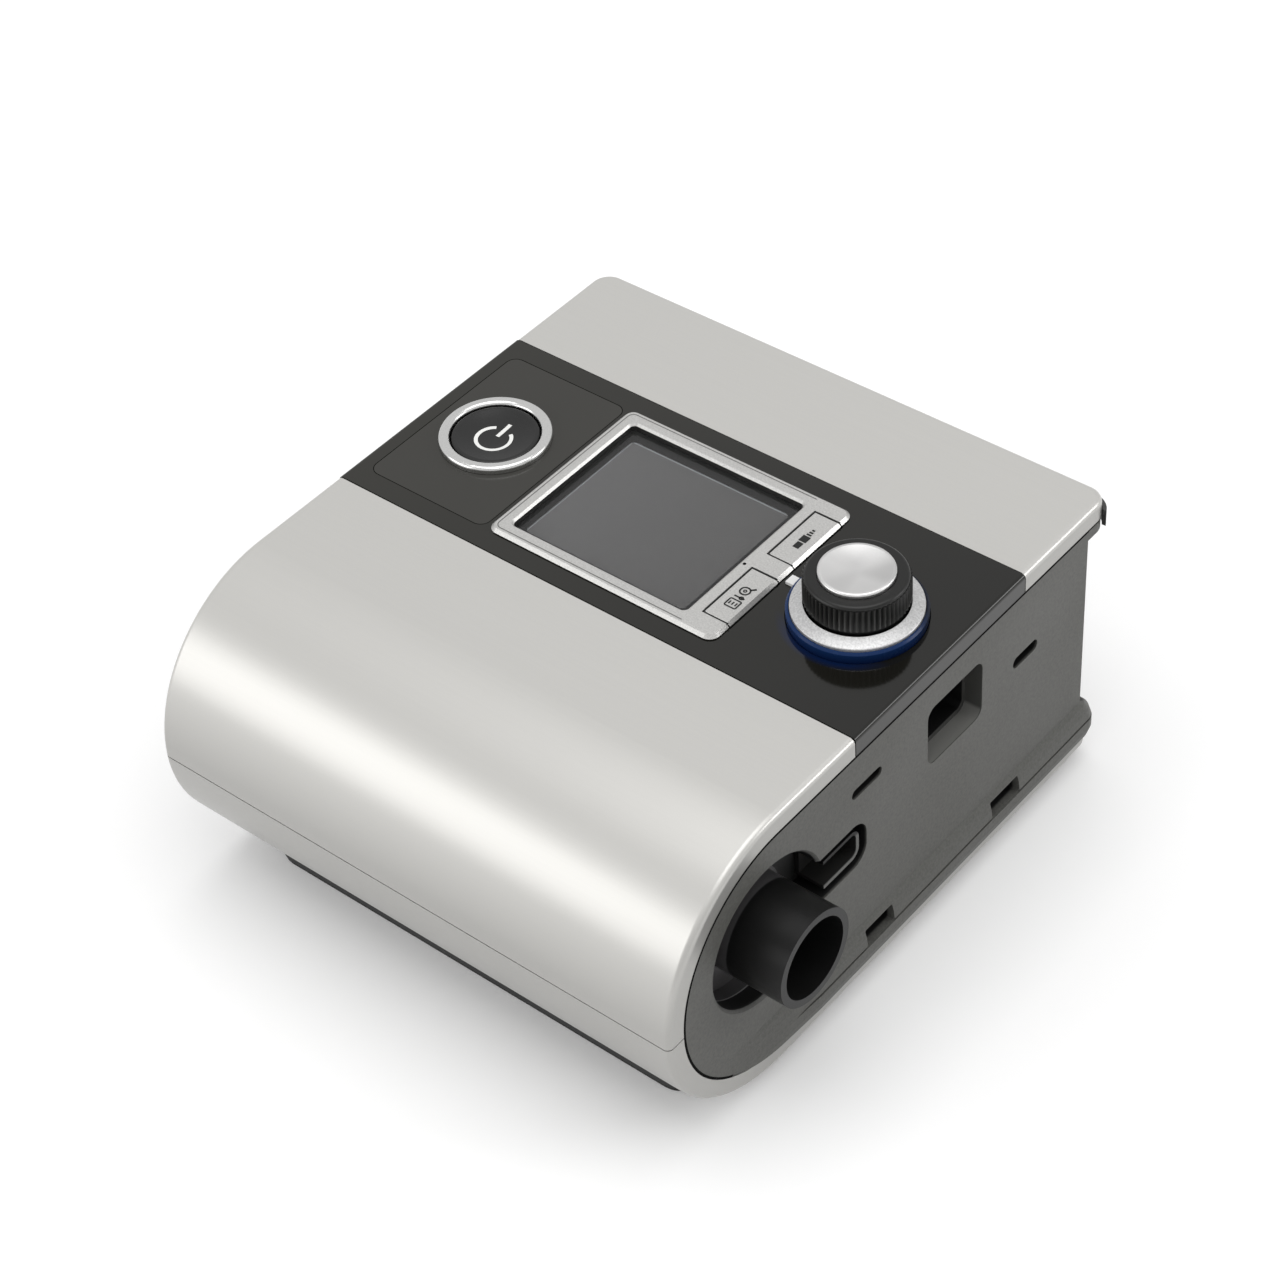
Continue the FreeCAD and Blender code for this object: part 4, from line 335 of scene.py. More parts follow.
# ---- general materials ----
def plastic(name, colour, rough, speckle=0.06, grain=4.0, relief=0.0, gloss=0.5, metal=0.0, coat=0.0,
            drift=0.05):
    """Moulded or painted surface: colour drift, fine speckle, uneven gloss and fine relief."""
    material, tree, shader = start(name)
    place = coordinates(tree)
    fine = noise(tree, place, grain, detail=3.0, roughness=0.6)
    broad = noise(tree, place, scale=0.03)
    slow = toned(tree, rise(tree, broad), colour, 1 - drift, 1 + drift)
    spots = toned(tree, rise(tree, fine, 0.25, 0.75), colour, 1 - speckle, 1 + speckle)
    tree.links.new(tint(tree, 0.5, slow, spots), shader.inputs["Base Color"])
    tree.links.new(spread(tree, broad, rough * 0.9, rough * 1.1), shader.inputs["Roughness"])
    shader.inputs["Specular IOR Level"].default_value = gloss
    shader.inputs["Metallic"].default_value = metal
    shader.inputs["Coat Weight"].default_value = coat
    shader.inputs["Coat Roughness"].default_value = 0.12
    if relief:
        tree.links.new(bump(tree, fine, relief), shader.inputs["Normal"])
    return material


def silver_paint(name, colour, rough, metal, flake=0.05, grain=9.0, under=1.0, shaded_walls=False):
    """Satin metallic paint: flakes, faint streaks along the width, painted shade on steep walls where
    asked, and painted shade that deepens on faces turning down.
    """
    material, tree, shader = start(name)
    streak = noise(tree, coordinates(tree, (0.02, 1.6, 1.6)), scale=1.0, detail=3.0, roughness=0.6)
    flakes = noise(tree, coordinates(tree), grain, roughness=0.7)
    lines = toned(tree, rise(tree, streak), colour, 0.985, 1.015)
    spots = toned(tree, rise(tree, flakes, 0.2, 0.8), colour, 1 - flake, 1 + flake)
    surface = tint(tree, 0.5, lines, spots)
    # steep walls get painted shade
    if shaded_walls:
        surface = tint(tree, rise(tree, facing_up(tree), 0.2, 0.5), (0.08, 0.08, 0.078), surface)
    # faces that turn down get painted shade
    if under < 1:
        surface = tint(tree, rise(tree, facing_up(tree), 0.1, 0.7), shade(colour, under), surface)
    tree.links.new(surface, shader.inputs["Base Color"])
    tree.links.new(spread(tree, flakes, rough * 0.92, rough * 1.08), shader.inputs["Roughness"])
    tree.links.new(bump(tree, combine(tree, "ADD", flakes, streak), 0.0015), shader.inputs["Normal"])
    shader.inputs["Metallic"].default_value = metal
    return material


def brushed(name, colour, rough, stretch, relief=0.004, metal=1.0):
    """Metal with fine lines across the axis that is stretched most, or fine grains if all are alike."""
    material, tree, shader = start(name)
    lines = noise(tree, coordinates(tree, stretch), scale=1.0, detail=4.0, roughness=0.7)
    broad = noise(tree, coordinates(tree), scale=0.08)
    tone = toned(tree, rise(tree, lines), colour, 0.9, 1.06)
    tree.links.new(tone, shader.inputs["Base Color"])
    tree.links.new(spread(tree, lines, rough * 0.85, rough * 1.2), shader.inputs["Roughness"])
    tree.links.new(bump(tree, combine(tree, "ADD", lines, broad), relief), shader.inputs["Normal"])
    shader.inputs["Metallic"].default_value = metal
    return material


def fibre(name, colour, scale, relief, holes=0.0):
    """Felt or foam: a deep open texture without gloss."""
    material, tree, shader = start(name)
    place = coordinates(tree)
    cell = tree.nodes.new("ShaderNodeTexVoronoi")
    tree.links.new(place, cell.inputs["Vector"])
    cell.inputs["Scale"].default_value = scale
    threads = noise(tree, place, scale * 2, detail=4.0, roughness=0.7)
    height = combine(tree, "ADD", cell.outputs["Distance"], threads)
    tone = toned(tree, rise(tree, height, 0.4, 1.2), colour, 0.55 - holes, 1.1)
    tree.links.new(tone, shader.inputs["Base Color"])
    tree.links.new(bump(tree, height, relief), shader.inputs["Normal"])
    shader.inputs["Roughness"].default_value = 0.95
    shader.inputs["Specular IOR Level"].default_value = 0.15
    return material


# ---- materials of single pieces ----
PANEL_LOOK = dict(colour=(0.088, 0.088, 0.081), rough=0.5, speckle=0.45, grain=1.6, relief=0.02, gloss=0.4)


def panel_plastic(name):
    """Grained side panel: painted shade in its pockets, painted light and shade on the latch's floor and
    walls, and in the outlet's recess painted shade on the wall, a painted highlight line at the step and a
    grey foot.
    """
    material = plastic(name, **PANEL_LOOK)
    tree, shader, surface = reopen(material)
    place = coordinates(tree)
    part = axes(tree, place)

    def pocket_shade(other, deep, shallow):
        """Face colour that goes over into painted shade, or painted light and shade, between two depths
        below the face.
        """
        return faded(tree, place, surface, other, "X", PANEL_FACE - deep, PANEL_FACE - shallow)

    # pockets and slots below the face are painted near black as shade
    plain = pocket_shade(NEAR_BLACK, 0.6, 0.15)
    # latch recess: floors painted lighter as lit and walls darker as shaded, going near black deeper in
    sides = tint(tree, rise(tree, facing_up(tree), 0.2, 0.5), (0.06, 0.06, 0.056), (0.17, 0.17, 0.16))
    latch = faded(tree, place, pocket_shade(sides, 0.3, 0.15), NEAR_BLACK, "X", *LATCH_FLOOR)
    # outlet recess: painted shade on the wall, a painted highlight line at the step, and a grey foot
    step = combine(tree, "LESS_THAN", part["X"], RECESS_STEP + RECESS_HIGHLIGHT)
    foot = combine(tree, "LESS_THAN", part["X"], RECESS_STEP)
    wall = tint(tree, step, pocket_shade(grey(0.009), 1.2, 0.2), grey(0.3))
    recess = tint(tree, foot, wall, (0.075, 0.073, 0.075))
    colour = tint(tree, inside(tree, place, LATCH_LOW, LATCH_HIGH), plain, latch)
    near = combine(tree, "LESS_THAN", around(tree, OUTLET, "X")[1], RECESS_RADIUS)
    front = combine(tree, "LESS_THAN", part["Y"], OUTLET[1] + RECESS_REAR)
    hollow = combine(tree, "MULTIPLY", near, front)
    tree.links.new(tint(tree, hollow, colour, recess), shader.inputs["Base Color"])
    return material


def shroud_plastic(name):
    """Connector housing with painted shade where it lies inside the recess and along its upper side,
    leaving a light lip along its lower side and its end.
    """
    colour = (0.13, 0.13, 0.125)
    material = plastic(name, colour, rough=0.45, speckle=0.08, relief=0.01, gloss=0.15)
    tree, shader, surface = reopen(material)
    place = coordinates(tree)
    # painted shade where the housing lies inside the recess and on its upper side
    lip = faded(tree, place, surface, shade(colour, 0.12), "X", *SHROUD_END)
    tree.links.new(faded(tree, place, lip, NEAR_BLACK, "Z", *SHROUD_LIP), shader.inputs["Base Color"])
    return material


def outlet_plastic(name):
    """Black outlet with a grey root at the bottom of its recess."""
    material = plastic(name, grey(0.007), rough=0.38, speckle=0.1, grain=5.0, relief=0.01, gloss=0.25)
    tree, shader, surface = reopen(material)
    grey_root = (0.07, 0.068, 0.07)
    root = faded(tree, coordinates(tree), surface, grey_root, "X", *OUTLET_ROOT)
    tree.links.new(root, shader.inputs["Base Color"])
    return material


def band_plastic(name):
    """Glossy dark band with painted shade that deepens to the right, and a painted reflection of the blue
    light ring in front of it.
    """
    colour = (0.024, 0.023, 0.018)
    material = plastic(name, colour, rough=0.09, speckle=0.05, grain=5.0)
    tree, shader, surface = reopen(material)
    # painted shade that deepens to the right
    darker = faded(tree, coordinates(tree), surface, shade(colour, 0.12), "X", *BAND_SHADE)
    # painted reflection of the blue light ring on the band in front of it
    place, distance = around(tree, DIAL, "Z")
    near = fall(tree, distance, *REFLECTION_RADII)
    front = fall(tree, axes(tree, place)["Y"], *REFLECTION_REAR)
    blue = tint(tree, combine(tree, "MULTIPLY", near, front), darker, (0.002, 0.009, 0.042))
    tree.links.new(blue, shader.inputs["Base Color"])
    return material


def floor_paint(name):
    """Plain pale floor that throws less light back on the machine than it shows."""
    material = plastic(name, grey(0.96), rough=0.9, speckle=0.004, gloss=0.1, drift=0.004)
    tree, shader, surface = reopen(material)
    ray = tree.nodes.new("ShaderNodeLightPath").outputs
    mirrored = combine(tree, "MAXIMUM", ray["Is Glossy Ray"], ray["Is Transmission Ray"])
    seen = combine(tree, "MAXIMUM", ray["Is Camera Ray"], mirrored)
    tree.links.new(tint(tree, seen, grey(0.6), surface), shader.inputs["Base Color"])
    shader.inputs["Emission Color"].default_value = (1, 1, 1, 1)
    tree.links.new(combine(tree, "MULTIPLY", seen, 0.06), shader.inputs["Emission Strength"])
    return material


def knurled(name):
    """Black knob: glossy shoulder, painted shade in the grooves and painted highlights on the ridges of
    its grip.
    """
    colour = (0.008, 0.008, 0.0075)
    material = plastic(name, colour, rough=0.3, speckle=0.25, grain=6.0, relief=0.006, gloss=0.4)
    tree, shader, surface = reopen(material)
    distance = around(tree, DIAL, "Z")[1]
    wall = fall(tree, facing_up(tree), 0.1, 0.3)
    # painted highlights on the walls of the ridges and painted shade in the grooves
    crest = combine(tree, "MULTIPLY", rise(tree, distance, KNOB_GROOVE + KNOB_BLEND, KNOB_RIDGE), wall)
    groove_shade = combine(tree, "MULTIPLY", fall(tree, distance, KNOB_GROOVE, KNOB_GROOVE + KNOB_BLEND), wall)
    ridge_highlight = tint(tree, crest, surface, (0.034, 0.034, 0.032))
    tree.links.new(tint(tree, groove_shade, ridge_highlight, grey(0.0015)), shader.inputs["Base Color"])
    return material


def turned(name, colour, rough, pitch):
    """Metal disc on the dial's axis, with fine turned rings and soft wedges of light and shade."""
    material, tree, shader = start(name)
    place, distance = around(tree, DIAL, "Z")
    rings = noise_along(tree, distance, 1 / pitch, detail=3)
    sector = tree.nodes.new("ShaderNodeTexGradient")
    sector.gradient_type = "RADIAL"
    tree.links.new(place, sector.inputs["Vector"])
    wedges = noise_along(tree, sector.outputs["Fac"], scale=4, detail=0)
    reach = spread(tree, distance, 0.0, 1.3, 0.5, 6.0)
    swing = combine(tree, "MULTIPLY", combine(tree, "SUBTRACT", wedges, 0.5), reach)
    trace = combine(tree, "MULTIPLY", rings, 0.2)
    tone = combine(tree, "ADD", combine(tree, "ADD", swing, 0.4), trace)
    shaded = toned(tree, rise(tree, tone, 0.35, 0.65), colour, 0.9, 1.08)
    tree.links.new(shaded, shader.inputs["Base Color"])
    tree.links.new(bump(tree, rings, 0.002), shader.inputs["Normal"])
    shader.inputs["Roughness"].default_value = rough
    shader.inputs["Metallic"].default_value = 1.0
    return material


def glow_ring(name):
    """Deep blue plastic with painted shade towards its foot and at the rear."""
    material, tree, shader = start(name)
    place = coordinates(tree)
    part = axes(tree, place)
    # painted shade towards the foot
    upper = rise(tree, part["Z"], LIGHT_RING_FOOT, LIGHT_RING_TOP)
    tone = tint(tree, upper, (0.001, 0.005, 0.032), (0.005, 0.026, 0.1))
    # painted shade at the rear
    rear = rise(tree, part["Y"], *LIGHT_RING_SHADE)
    tree.links.new(tint(tree, rear, tone, (0.004, 0.007, 0.018)), shader.inputs["Base Color"])
    cloud = noise(tree, place, scale=0.5)
    tree.links.new(spread(tree, cloud, 0.2, 0.3), shader.inputs["Roughness"])
    shader.inputs["Specular IOR Level"].default_value = 0.2
    return material


def clear_window(name):
    """Clear cover of the display, with a trace of haze."""
    material, tree, shader = start(name)
    haze = noise(tree, coordinates(tree), scale=0.2)
    tree.links.new(spread(tree, haze, 0.02, 0.05), shader.inputs["Roughness"])
    shader.inputs["Base Color"].default_value = (0.98, 0.98, 0.98, 1)
    shader.inputs["Transmission Weight"].default_value = 0.98
    shader.inputs["IOR"].default_value = 1.45
    return material


def display_face(name):
    """Unlit display: grey with painted shade that deepens to the right, fine cells, and a painted
    highlight along its edge at the left and rear.
    """
    material, tree, shader = start(name)
    part = axes(tree, coordinates(tree))
    waves = []
    for axis in "XY":
        wave = combine(tree, "SINE", combine(tree, "MULTIPLY", part[axis], 2 * math.pi / CELL_PITCH))
        waves.append(rise(tree, wave, -1.0, 1.0))
    grid = combine(tree, "MULTIPLY", *waves)
    # painted shade that deepens to the right
    shade_slope = rise(tree, part["X"], SCREEN_LEFT, SCREEN_RIGHT)
    tone = tint(tree, shade_slope, (0.076, 0.076, 0.077), (0.034, 0.033, 0.032))
    dots = tint(tree, grid, (0.94, 0.94, 0.95), grey(1.0))
    cells = tint(tree, 1.0, tone, dots, "MULTIPLY")
    # painted highlight along the left and rear edges
    left = combine(tree, "LESS_THAN", part["X"], SCREEN_LEFT + SCREEN_HIGHLIGHT[0])
    rear = combine(tree, "GREATER_THAN", part["Y"], SCREEN_REAR - SCREEN_HIGHLIGHT[1])
    edge = combine(tree, "MAXIMUM", left, rear)
    tree.links.new(tint(tree, edge, cells, (0.26, 0.28, 0.3)), shader.inputs["Base Color"])
    shader.inputs["Roughness"].default_value = 0.4
    return material


def circuit_board(name):
    """Green solder mask with copper tracks showing through."""
    material, tree, shader = start(name)
    place = coordinates(tree)
    bricks = tree.nodes.new("ShaderNodeTexBrick")
    tree.links.new(place, bricks.inputs["Vector"])
    bricks.inputs["Scale"].default_value = 0.35
    bricks.inputs["Mortar Size"].default_value = 0.03
    bricks.inputs["Color1"].default_value = (0.012, 0.09, 0.035, 1)
    bricks.inputs["Color2"].default_value = (0.014, 0.11, 0.04, 1)
    bricks.inputs["Mortar"].default_value = (0.03, 0.2, 0.08, 1)
    tree.links.new(bricks.outputs["Color"], shader.inputs["Base Color"])
    tree.links.new(spread(tree, noise(tree, place, scale=1.0), 0.28, 0.4), shader.inputs["Roughness"])
    tree.links.new(bump(tree, bricks.outputs["Fac"], 0.03), shader.inputs["Normal"])
    return material


def winding(name):
    """Copper wire wound in close turns."""
    material, tree, shader = start(name)
    wave = tree.nodes.new("ShaderNodeTexWave")
    tree.links.new(coordinates(tree), wave.inputs["Vector"])
    wave.bands_direction = "Z"
    wave.inputs["Scale"].default_value = 0.5
    wave.inputs["Distortion"].default_value = 0.4
    turns = wave.outputs["Fac"]
    tree.links.new(tint(tree, turns, (0.2, 0.07, 0.03), (0.6, 0.28, 0.14)), shader.inputs["Base Color"])
    tree.links.new(bump(tree, turns, 0.15), shader.inputs["Normal"])
    shader.inputs["Metallic"].default_value = 0.9
    shader.inputs["Roughness"].default_value = 0.35
    return material


LOOKS = {
    # the silver shell's downward faces get painted shade
    "silver_shell": (silver_paint, dict(colour=(0.62, 0.612, 0.588), rough=0.33, metal=0.56, under=0.69)),
    "dark_base": (plastic, dict(colour=grey(0.03), rough=0.6, speckle=0.12, grain=3.0, relief=0.02)),
    "rubber_black": (plastic, dict(colour=grey(0.018), rough=0.8, speckle=0.15, grain=2.0, relief=0.02)),
    "grey_panel": (plastic, PANEL_LOOK),
    "port_panel": (panel_plastic, {}),
    "dark_trim": (plastic, dict(colour=grey(0.04), rough=0.45, speckle=0.1, relief=0.01)),
    "band_plastic": (band_plastic, {}),
    "band_inlay": (plastic, dict(colour=(0.029, 0.028, 0.024), rough=0.18, speckle=0.05, grain=5.0)),
    # the silver trim's steep walls get painted shade
    "silver_trim": (silver_paint, dict(colour=(0.61, 0.605, 0.59), rough=0.36, metal=0.75, flake=0.4,
                                       grain=2.8, shaded_walls=True)),
    "clear_window": (clear_window, {}),
    # black_print also serves the near-black lines that paint the shade in the key gaps
    "black_print": (plastic, dict(colour=(0.012, 0.013, 0.012), rough=0.4, speckle=0.05, gloss=0.3)),
    "mask_print": (plastic, dict(colour=(0.036, 0.037, 0.037), rough=0.4, speckle=0.1, gloss=0.3)),
    "display_grey": (display_face, {}),
    "switch_plastic": (plastic, dict(colour=grey(0.04), rough=0.5, speckle=0.08, relief=0.01)),
    "bright_ring": (brushed, dict(colour=(0.8, 0.8, 0.79), rough=0.2, stretch=(3, 3, 3), relief=0.001)),
    "button_black": (plastic, dict(colour=grey(0.008), rough=0.3, speckle=0.1, grain=6.0, relief=0.004)),
    "blue_light_ring": (glow_ring, {}),
    "satin_ring": (silver_paint, dict(colour=grey(0.62), rough=0.4, metal=0.7, flake=0.6, grain=2.2)),
    "marker_white": (plastic, dict(colour=(0.78, 0.78, 0.77), rough=0.35, speckle=0.03)),
    "knob_black": (knurled, {}),
    "cap_metal": (turned, dict(colour=(0.74, 0.735, 0.73), rough=0.36, pitch=0.12)),
    "shaft_steel": (brushed, dict(colour=grey(0.55), rough=0.25, stretch=(1, 1, 8))),
    "encoder_metal": (brushed, dict(colour=grey(0.5), rough=0.35, stretch=(4, 1, 1))),
    "board_green": (circuit_board, {}),
    "screw_steel": (brushed, dict(colour=(0.5, 0.5, 0.49), rough=0.3, stretch=(6, 6, 1))),
    "inner_plastic": (plastic, dict(colour=grey(0.05), rough=0.55, speckle=0.1, grain=3.0, relief=0.02)),
    "blower_plastic": (plastic, dict(colour=(0.24, 0.24, 0.235), rough=0.45, speckle=0.08, grain=3.0,
                                     relief=0.015)),
    "motor_aluminium": (brushed, dict(colour=grey(0.6), rough=0.35, stretch=(1, 1, 6))),
    "bearing_steel": (brushed, dict(colour=grey(0.58), rough=0.2, stretch=(1, 1, 10))),
    "stator_copper": (winding, {}),
    "magnet_iron": (plastic, dict(colour=grey(0.09), rough=0.5, speckle=0.2, grain=3.0, relief=0.02,
                                  metal=0.7)),
    "impeller_white": (plastic, dict(colour=(0.7, 0.7, 0.68), rough=0.4, speckle=0.03, relief=0.006)),
    "soft_rubber": (plastic, dict(colour=grey(0.04), rough=0.75, speckle=0.1, grain=2.0, relief=0.02)),
    "outlet_black": (outlet_plastic, {}),
    "shroud_grey": (shroud_plastic, {}),
    "contact_brass": (brushed, dict(colour=(0.78, 0.6, 0.28), rough=0.3, stretch=(4, 1, 1))),
    "port_cover": (plastic, dict(colour=(0.1, 0.1, 0.092), rough=0.5, speckle=0.1, grain=5.0,
                                 relief=0.012)),
    "filter_felt": (fibre, dict(colour=(0.78, 0.78, 0.76), scale=1.6, relief=0.25)),
    "foam_grey": (fibre, dict(colour=grey(0.12), scale=1.0, relief=0.5, holes=0.2)),
    "socket_black": (plastic, dict(colour=grey(0.018), rough=0.4, speckle=0.1, relief=0.01)),
    "transformer_iron": (brushed, dict(colour=(0.16, 0.15, 0.14), rough=0.5, stretch=(0.3, 0.3, 3),
                                       relief=0.03, metal=0.6)),
    "capacitor_sleeve": (plastic, dict(colour=(0.015, 0.02, 0.06), rough=0.25, speckle=0.05, coat=0.4)),
    "heatsink_aluminium": (brushed, dict(colour=(0.3, 0.3, 0.31), rough=0.4, stretch=(1, 1, 6))),
    "white_print": (plastic, dict(colour=(0.82, 0.82, 0.8), rough=0.4, speckle=0.04)),
    # near-black strips that paint the shade in the seams
    "seam_black": (plastic, dict(colour=grey(0.0015), rough=0.8, speckle=0.1, gloss=0.05)),
    # grey line that paints the shade of the display's groove
    "groove_grey": (plastic, dict(colour=(0.13, 0.13, 0.125), rough=0.5, speckle=0.1)),
}
OWN_LOOKS = {"side_panel_right": "port_panel", "display_mask": "mask_print", "dial_marker": "marker_white"}


def dress(materials):
    """Give every CAD node the material of its slot, and a few nodes a closer one of their own."""
    for entry in frame["record"]["subparts"]:
        look = OWN_LOOKS.get(entry["node"], entry["material_slot"])
        for place in nodes[entry["node"]].material_slots:
            place.material = materials[look]


# ---- flat outlines ----
def line(first, last, steps=1):
    """Points along a straight line."""
    return [(first[0] + (last[0] - first[0]) * i / steps, first[1] + (last[1] - first[1]) * i / steps)
            for i in range(steps + 1)]


def arc(centre, radius, start_deg, end_deg, steps):
    """Points along an arc."""
    points = []
    for i in range(steps + 1):
        angle = math.radians(start_deg + (end_deg - start_deg) * i / steps)
        points.append((centre[0] + radius * math.cos(angle), centre[1] + radius * math.sin(angle)))
    return points


def outline(x0, x1, y0, y1, radius, steps=4):
    """Closed path round a rectangle with round corners."""
    path = arc((x1 - radius, y0 + radius), radius, -90, 0, steps)
    path += arc((x1 - radius, y1 - radius), radius, 0, 90, steps)
    path += arc((x0 + radius, y1 - radius), radius, 90, 180, steps)
    path += arc((x0 + radius, y0 + radius), radius, 180, 270, steps)
    return path


def strip(path, width, closed=False):
    """Flat strip along a path of points: its outline on both sides, and its quads."""
    count = len(path)
    left = []
    right = []
    for i, (x, y) in enumerate(path):
        before = path[i - 1] if i or closed else path[i]
        after = path[(i + 1) % count] if i + 1 < count or closed else path[i]
        along = Vector((after[0] - before[0], after[1] - before[1])).normalized()
        side = Vector((-along.y, along.x)) * width / 2
        left.append((x + side.x, y + side.y))
        right.append((x - side.x, y - side.y))
    quads = []
    for i in range(count if closed else count - 1):
        following = (i + 1) % count
        quads.append((count + i, count + following, following, i))
    return left + right, quads


# ---- pieces of the scene ----
def add_piece(name, vertices, faces, material, body):
    """Mesh piece that rides on a body. Places are in millimetres."""
    mesh = bpy.data.meshes.new(name)
    mesh.from_pydata([Vector(v) * MM for v in vertices], [], faces)
    mesh.materials.append(material)
    piece = bpy.data.objects.new(name, mesh)
    scene.collection.objects.link(piece)
    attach(piece, body)


def add_print(name, strips, height, material, body):
    """Piece of flat strips that lie just over a surface, whose height may depend on the place."""
    vertices = []
    faces = []
    for points, quads in strips:
        offset = len(vertices)
        vertices += [(x, y, height(x, y) + PRINT_RISE) for x, y in points]
        faces += [tuple(offset + i for i in quad) for quad in quads]
    add_piece(name, vertices, faces, material, body)


def button_height(x, y):
    """Height of the dished top of the power button."""
    span = (x - BUTTON[0]) ** 2 + (y - BUTTON[1]) ** 2
    return BUTTON_TOP - BUTTON_DISH + BUTTON_BALL - math.sqrt(BUTTON_BALL ** 2 - span)


def flat(level):
    """Height of a level surface, the same at every place."""
    return lambda x, y: level


def key_stroke(key_y, first, last, width):
    """Straight stroke on a key, given by its two ends as seen from the key's middle."""
    ends = [(KEY_X + x, key_y + y) for x, y in (first, last)]
    return strip(line(*ends), width)


def key_frame(key_y, x0, x1, y0, y1, radius, width):
    """Closed stroke with round corners on a key, as seen from the key's middle."""
    return strip(outline(KEY_X + x0, KEY_X + x1, key_y + y0, key_y + y1, radius), width, closed=True)


def print_symbols(materials):
    """Power symbol on the button, and a plain symbol on each key."""
    x, y = BUTTON[0] + 0.1, BUTTON[1] - 0.8
    ring = strip(arc((x, y), radius=3.9, start_deg=122, end_deg=418, steps=48), width=0.85)
    bar = strip(line((x, y + 1.2), (x, y + 5.7), steps=6), width=0.95)
    add_print("power_symbol", [ring, bar], button_height, materials["white_print"], "power_button")

    # two blocks and three bars that get shorter
    y = INFO_KEY_Y
    strips = [key_stroke(y, (0, -3.4), (0, -1.4), 1.5), key_stroke(y, (0, -1.1), (0, 0.9), 1.9)]
    for i in range(3):
        strips.append(key_stroke(y, (0, 1.2 + 0.8 * i), (0, 1.7 + 0.8 * i), 1.2 - 0.25 * i))
    add_print("info_symbol", strips, flat(KEY_TOP), materials["black_print"], "info_key")

    # page with three lines, slider, and magnifying glass
    y = SETUP_KEY_Y
    strips = [key_frame(y, -1.4, 1.4, -4.0, -1.6, 0.3, 0.35)]
    strips += [key_stroke(y, (x, -3.3), (x, -2.3), 0.35) for x in (-0.8, 0, 0.8)]
    strips += [
        key_stroke(y, (-1.3, -0.6), (1.3, -0.6), 0.4),
        key_frame(y, 0.1, 0.9, -1.0, -0.2, 0.3, 0.3),
        key_frame(y, -1.3, 0.9, 0.5, 2.7, 1.0, 0.4),
        key_frame(y, -0.5, 0.1, 1.3, 1.9, 0.25, 0.3),
        key_stroke(y, (0.6, 2.4), (1.5, 3.3), 0.5),
    ]
    add_print("setup_symbol", strips, flat(KEY_TOP), materials["black_print"], "setup_key")


def print_lines(materials):
    """Near-black lines that paint the shade in the gaps round the keys, and a grey line that paints the
    shade of a fine groove round the display.
    """
    strips = []
    x, corner = KEY_LEFT + KEY_LINE_CORNER, KEY_LINE_CORNER
    for y in (INFO_KEY_Y, SETUP_KEY_Y):
        low, high = y - KEY_HALF, y + KEY_HALF
        path = [(FRAME_EDGE, low)] + arc((x, low + corner), corner, 270, 180, CORNER_STEPS)
        path += arc((x, high - corner), corner, 180, 90, CORNER_STEPS) + [(FRAME_EDGE, high)]
        strips.append(strip(path, KEY_LINE))
    # near-black lines paint the shade in the gaps round the keys
    add_print("key_lines", strips, flat(FRAME_TOP), materials["black_print"], "housing")

    low, high, corner = FRAME_FRONT + GROOVE_INSET, FRAME_REAR - GROOVE_INSET, GROOVE_CORNER
    x, end = FRAME_LEFT + GROOVE_INSET + corner, KEY_LEFT - GROOVE_END
    path = [(end, low)] + arc((x, low + corner), corner, 270, 180, CORNER_STEPS)
    path += arc((x, high - corner), corner, 180, 90, CORNER_STEPS) + [(end, high)]
    strips = [strip(path, GROOVE_LINE)]
    # grey line paints the shade of a groove
    add_print("frame_groove", strips, flat(FRAME_TOP), materials["groove_grey"], "housing")


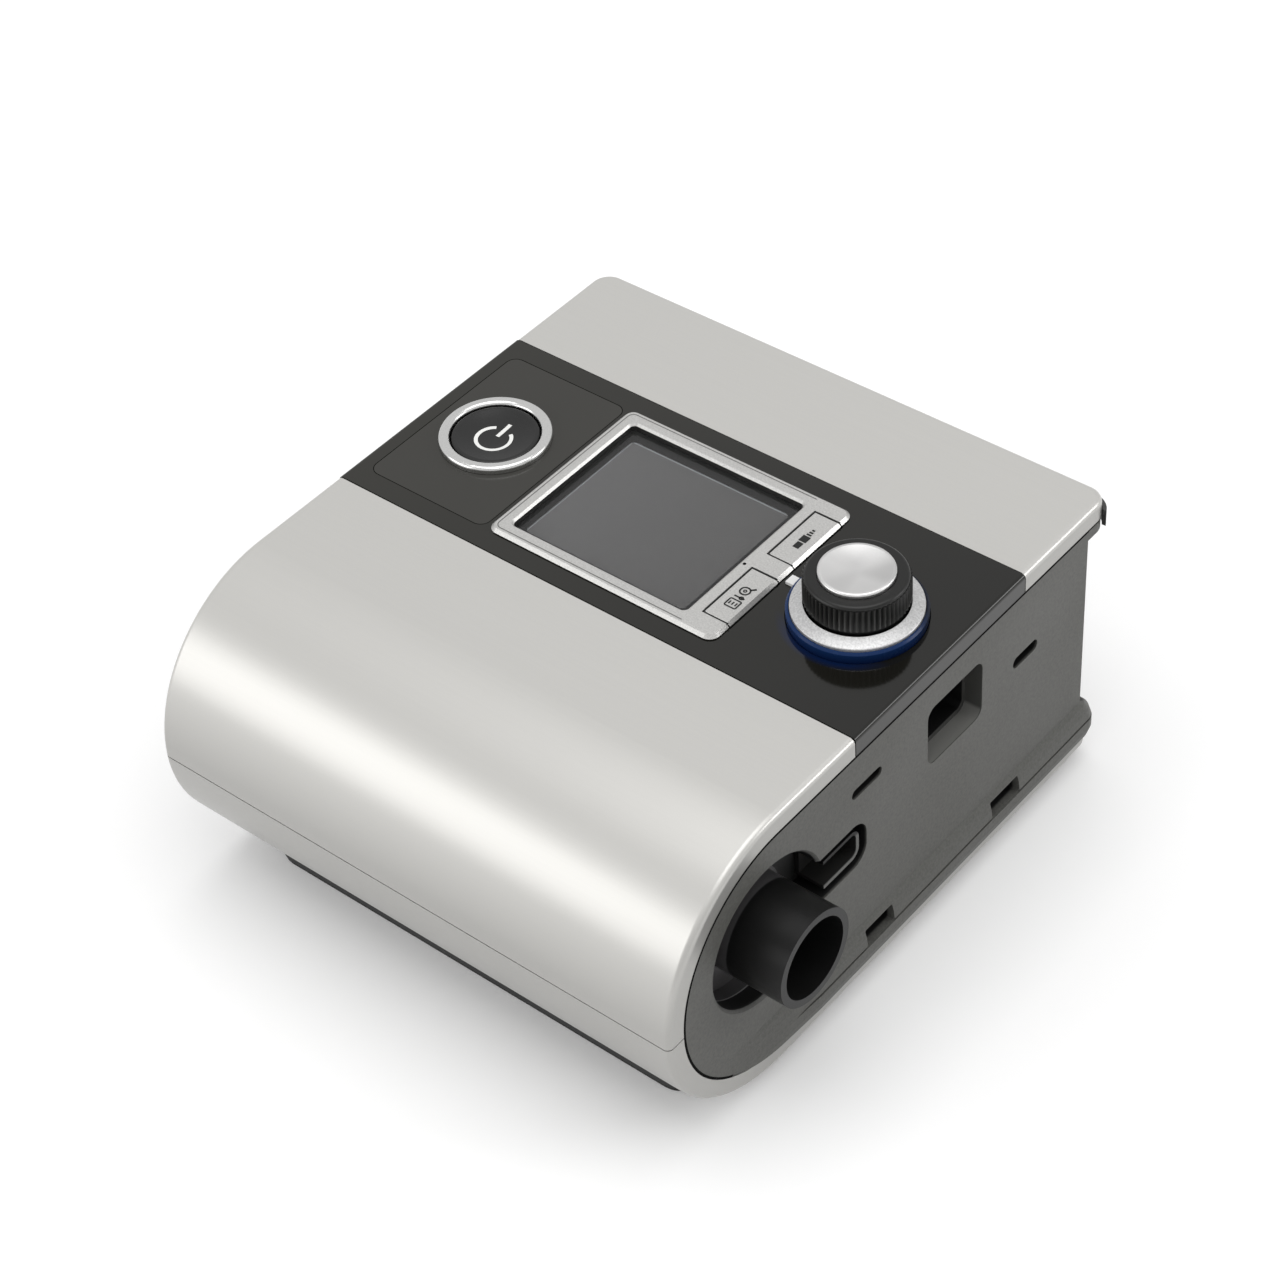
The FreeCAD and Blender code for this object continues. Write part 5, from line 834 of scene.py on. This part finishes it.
def face_edge(name, side):
    """Edge of a side panel's flat face as (y, z) points, from its rear top corner forward to its skirt."""
    mesh = nodes[name].data
    border = {}  # edges that one triangle has and its neighbour hasn't, in their order
    for face in mesh.polygons:
        corners = [mesh.vertices[i].co * TO_MM for i in face.vertices]
        off = max(abs(c.x * side - PANEL_FACE) for c in corners)
        if face.normal.x * side < FLAT_NORMAL or off > FLAT_SLACK:
            continue
        points = [(round(c.y, 2), round(c.z, 2)) for c in corners]
        if side < 0:
            points.reverse()
        for first, last in zip(points, points[1:] + points[:1]):
            if (last, first) in border:
                del border[last, first]
            else:
                border[first, last] = True
    following = dict(border.keys())
    path = [max(following, key=lambda point: point[0] + point[1])]
    while len(path) <= len(following) and path[-1][1] >= SKIRT_TOP:
        path.append(following[path[-1]])
    return path


def add_seam(name, panel, side, materials):
    """Near-black strip that paints the shade in the seam between a side panel and the silver covers."""
    path = face_edge(panel, side)
    x = side * (PANEL_FACE + SEAM_RISE)
    vertices = []
    for i, (y, z) in enumerate(path):
        before = Vector(path[max(i - 1, 0)])
        after = Vector(path[min(i + 1, len(path) - 1)])
        along = (after - before).normalized()
        vertices += [(x, y + along.y * reach, z - along.x * reach) for reach in SEAM_REACH]
    faces = [(2 * i, 2 * i + 1, 2 * i + 3, 2 * i + 2)[::side] for i in range(len(path) - 1)]
    add_piece(name, vertices, faces, materials["seam_black"], "housing")


def add_base_lip(materials):
    """Soft black lip that closes the gap between the plinth and the table, put there as the shade under
    the plinth.
    """
    left, right, front, rear = PLINTH_BOX
    rings = []
    for inset, corner in ((LIP_INSET, LIP_CORNER), (LIP_INSET + LIP_WIDTH, LIP_CORNER - LIP_WIDTH)):
        rings.append(outline(left + inset, right - inset, front + inset, rear - inset, corner, LIP_STEPS))
    outer, inner = rings
    vertices = []
    for ring, height in ((outer, LIP_LOW), (inner, LIP_LOW), (inner, LIP_HIGH), (outer, LIP_HIGH)):
        vertices += [(x, y, height) for x, y in ring]
    count = len(outer)
    faces = []
    for k in range(4):
        a, b = k * count, (k + 1) % 4 * count
        for i in range(count):
            following = (i + 1) % count
            faces.append((a + i, b + i, b + following, a + following))
    add_piece("base_lip", vertices, faces, materials["rubber_black"], "housing")


def main():
    """Build the scene."""
    scene.view_settings.view_transform = "Standard"
    add_camera()
    materials = {name: make(name, **values) for name, (make, values) in LOOKS.items()}
    add_studio()
    dress(materials)
    print_symbols(materials)
    print_lines(materials)
    add_base_lip(materials)
    add_seam("seam_right", "side_panel_right", 1, materials)
    add_seam("seam_left", "side_panel_left", -1, materials)


main()
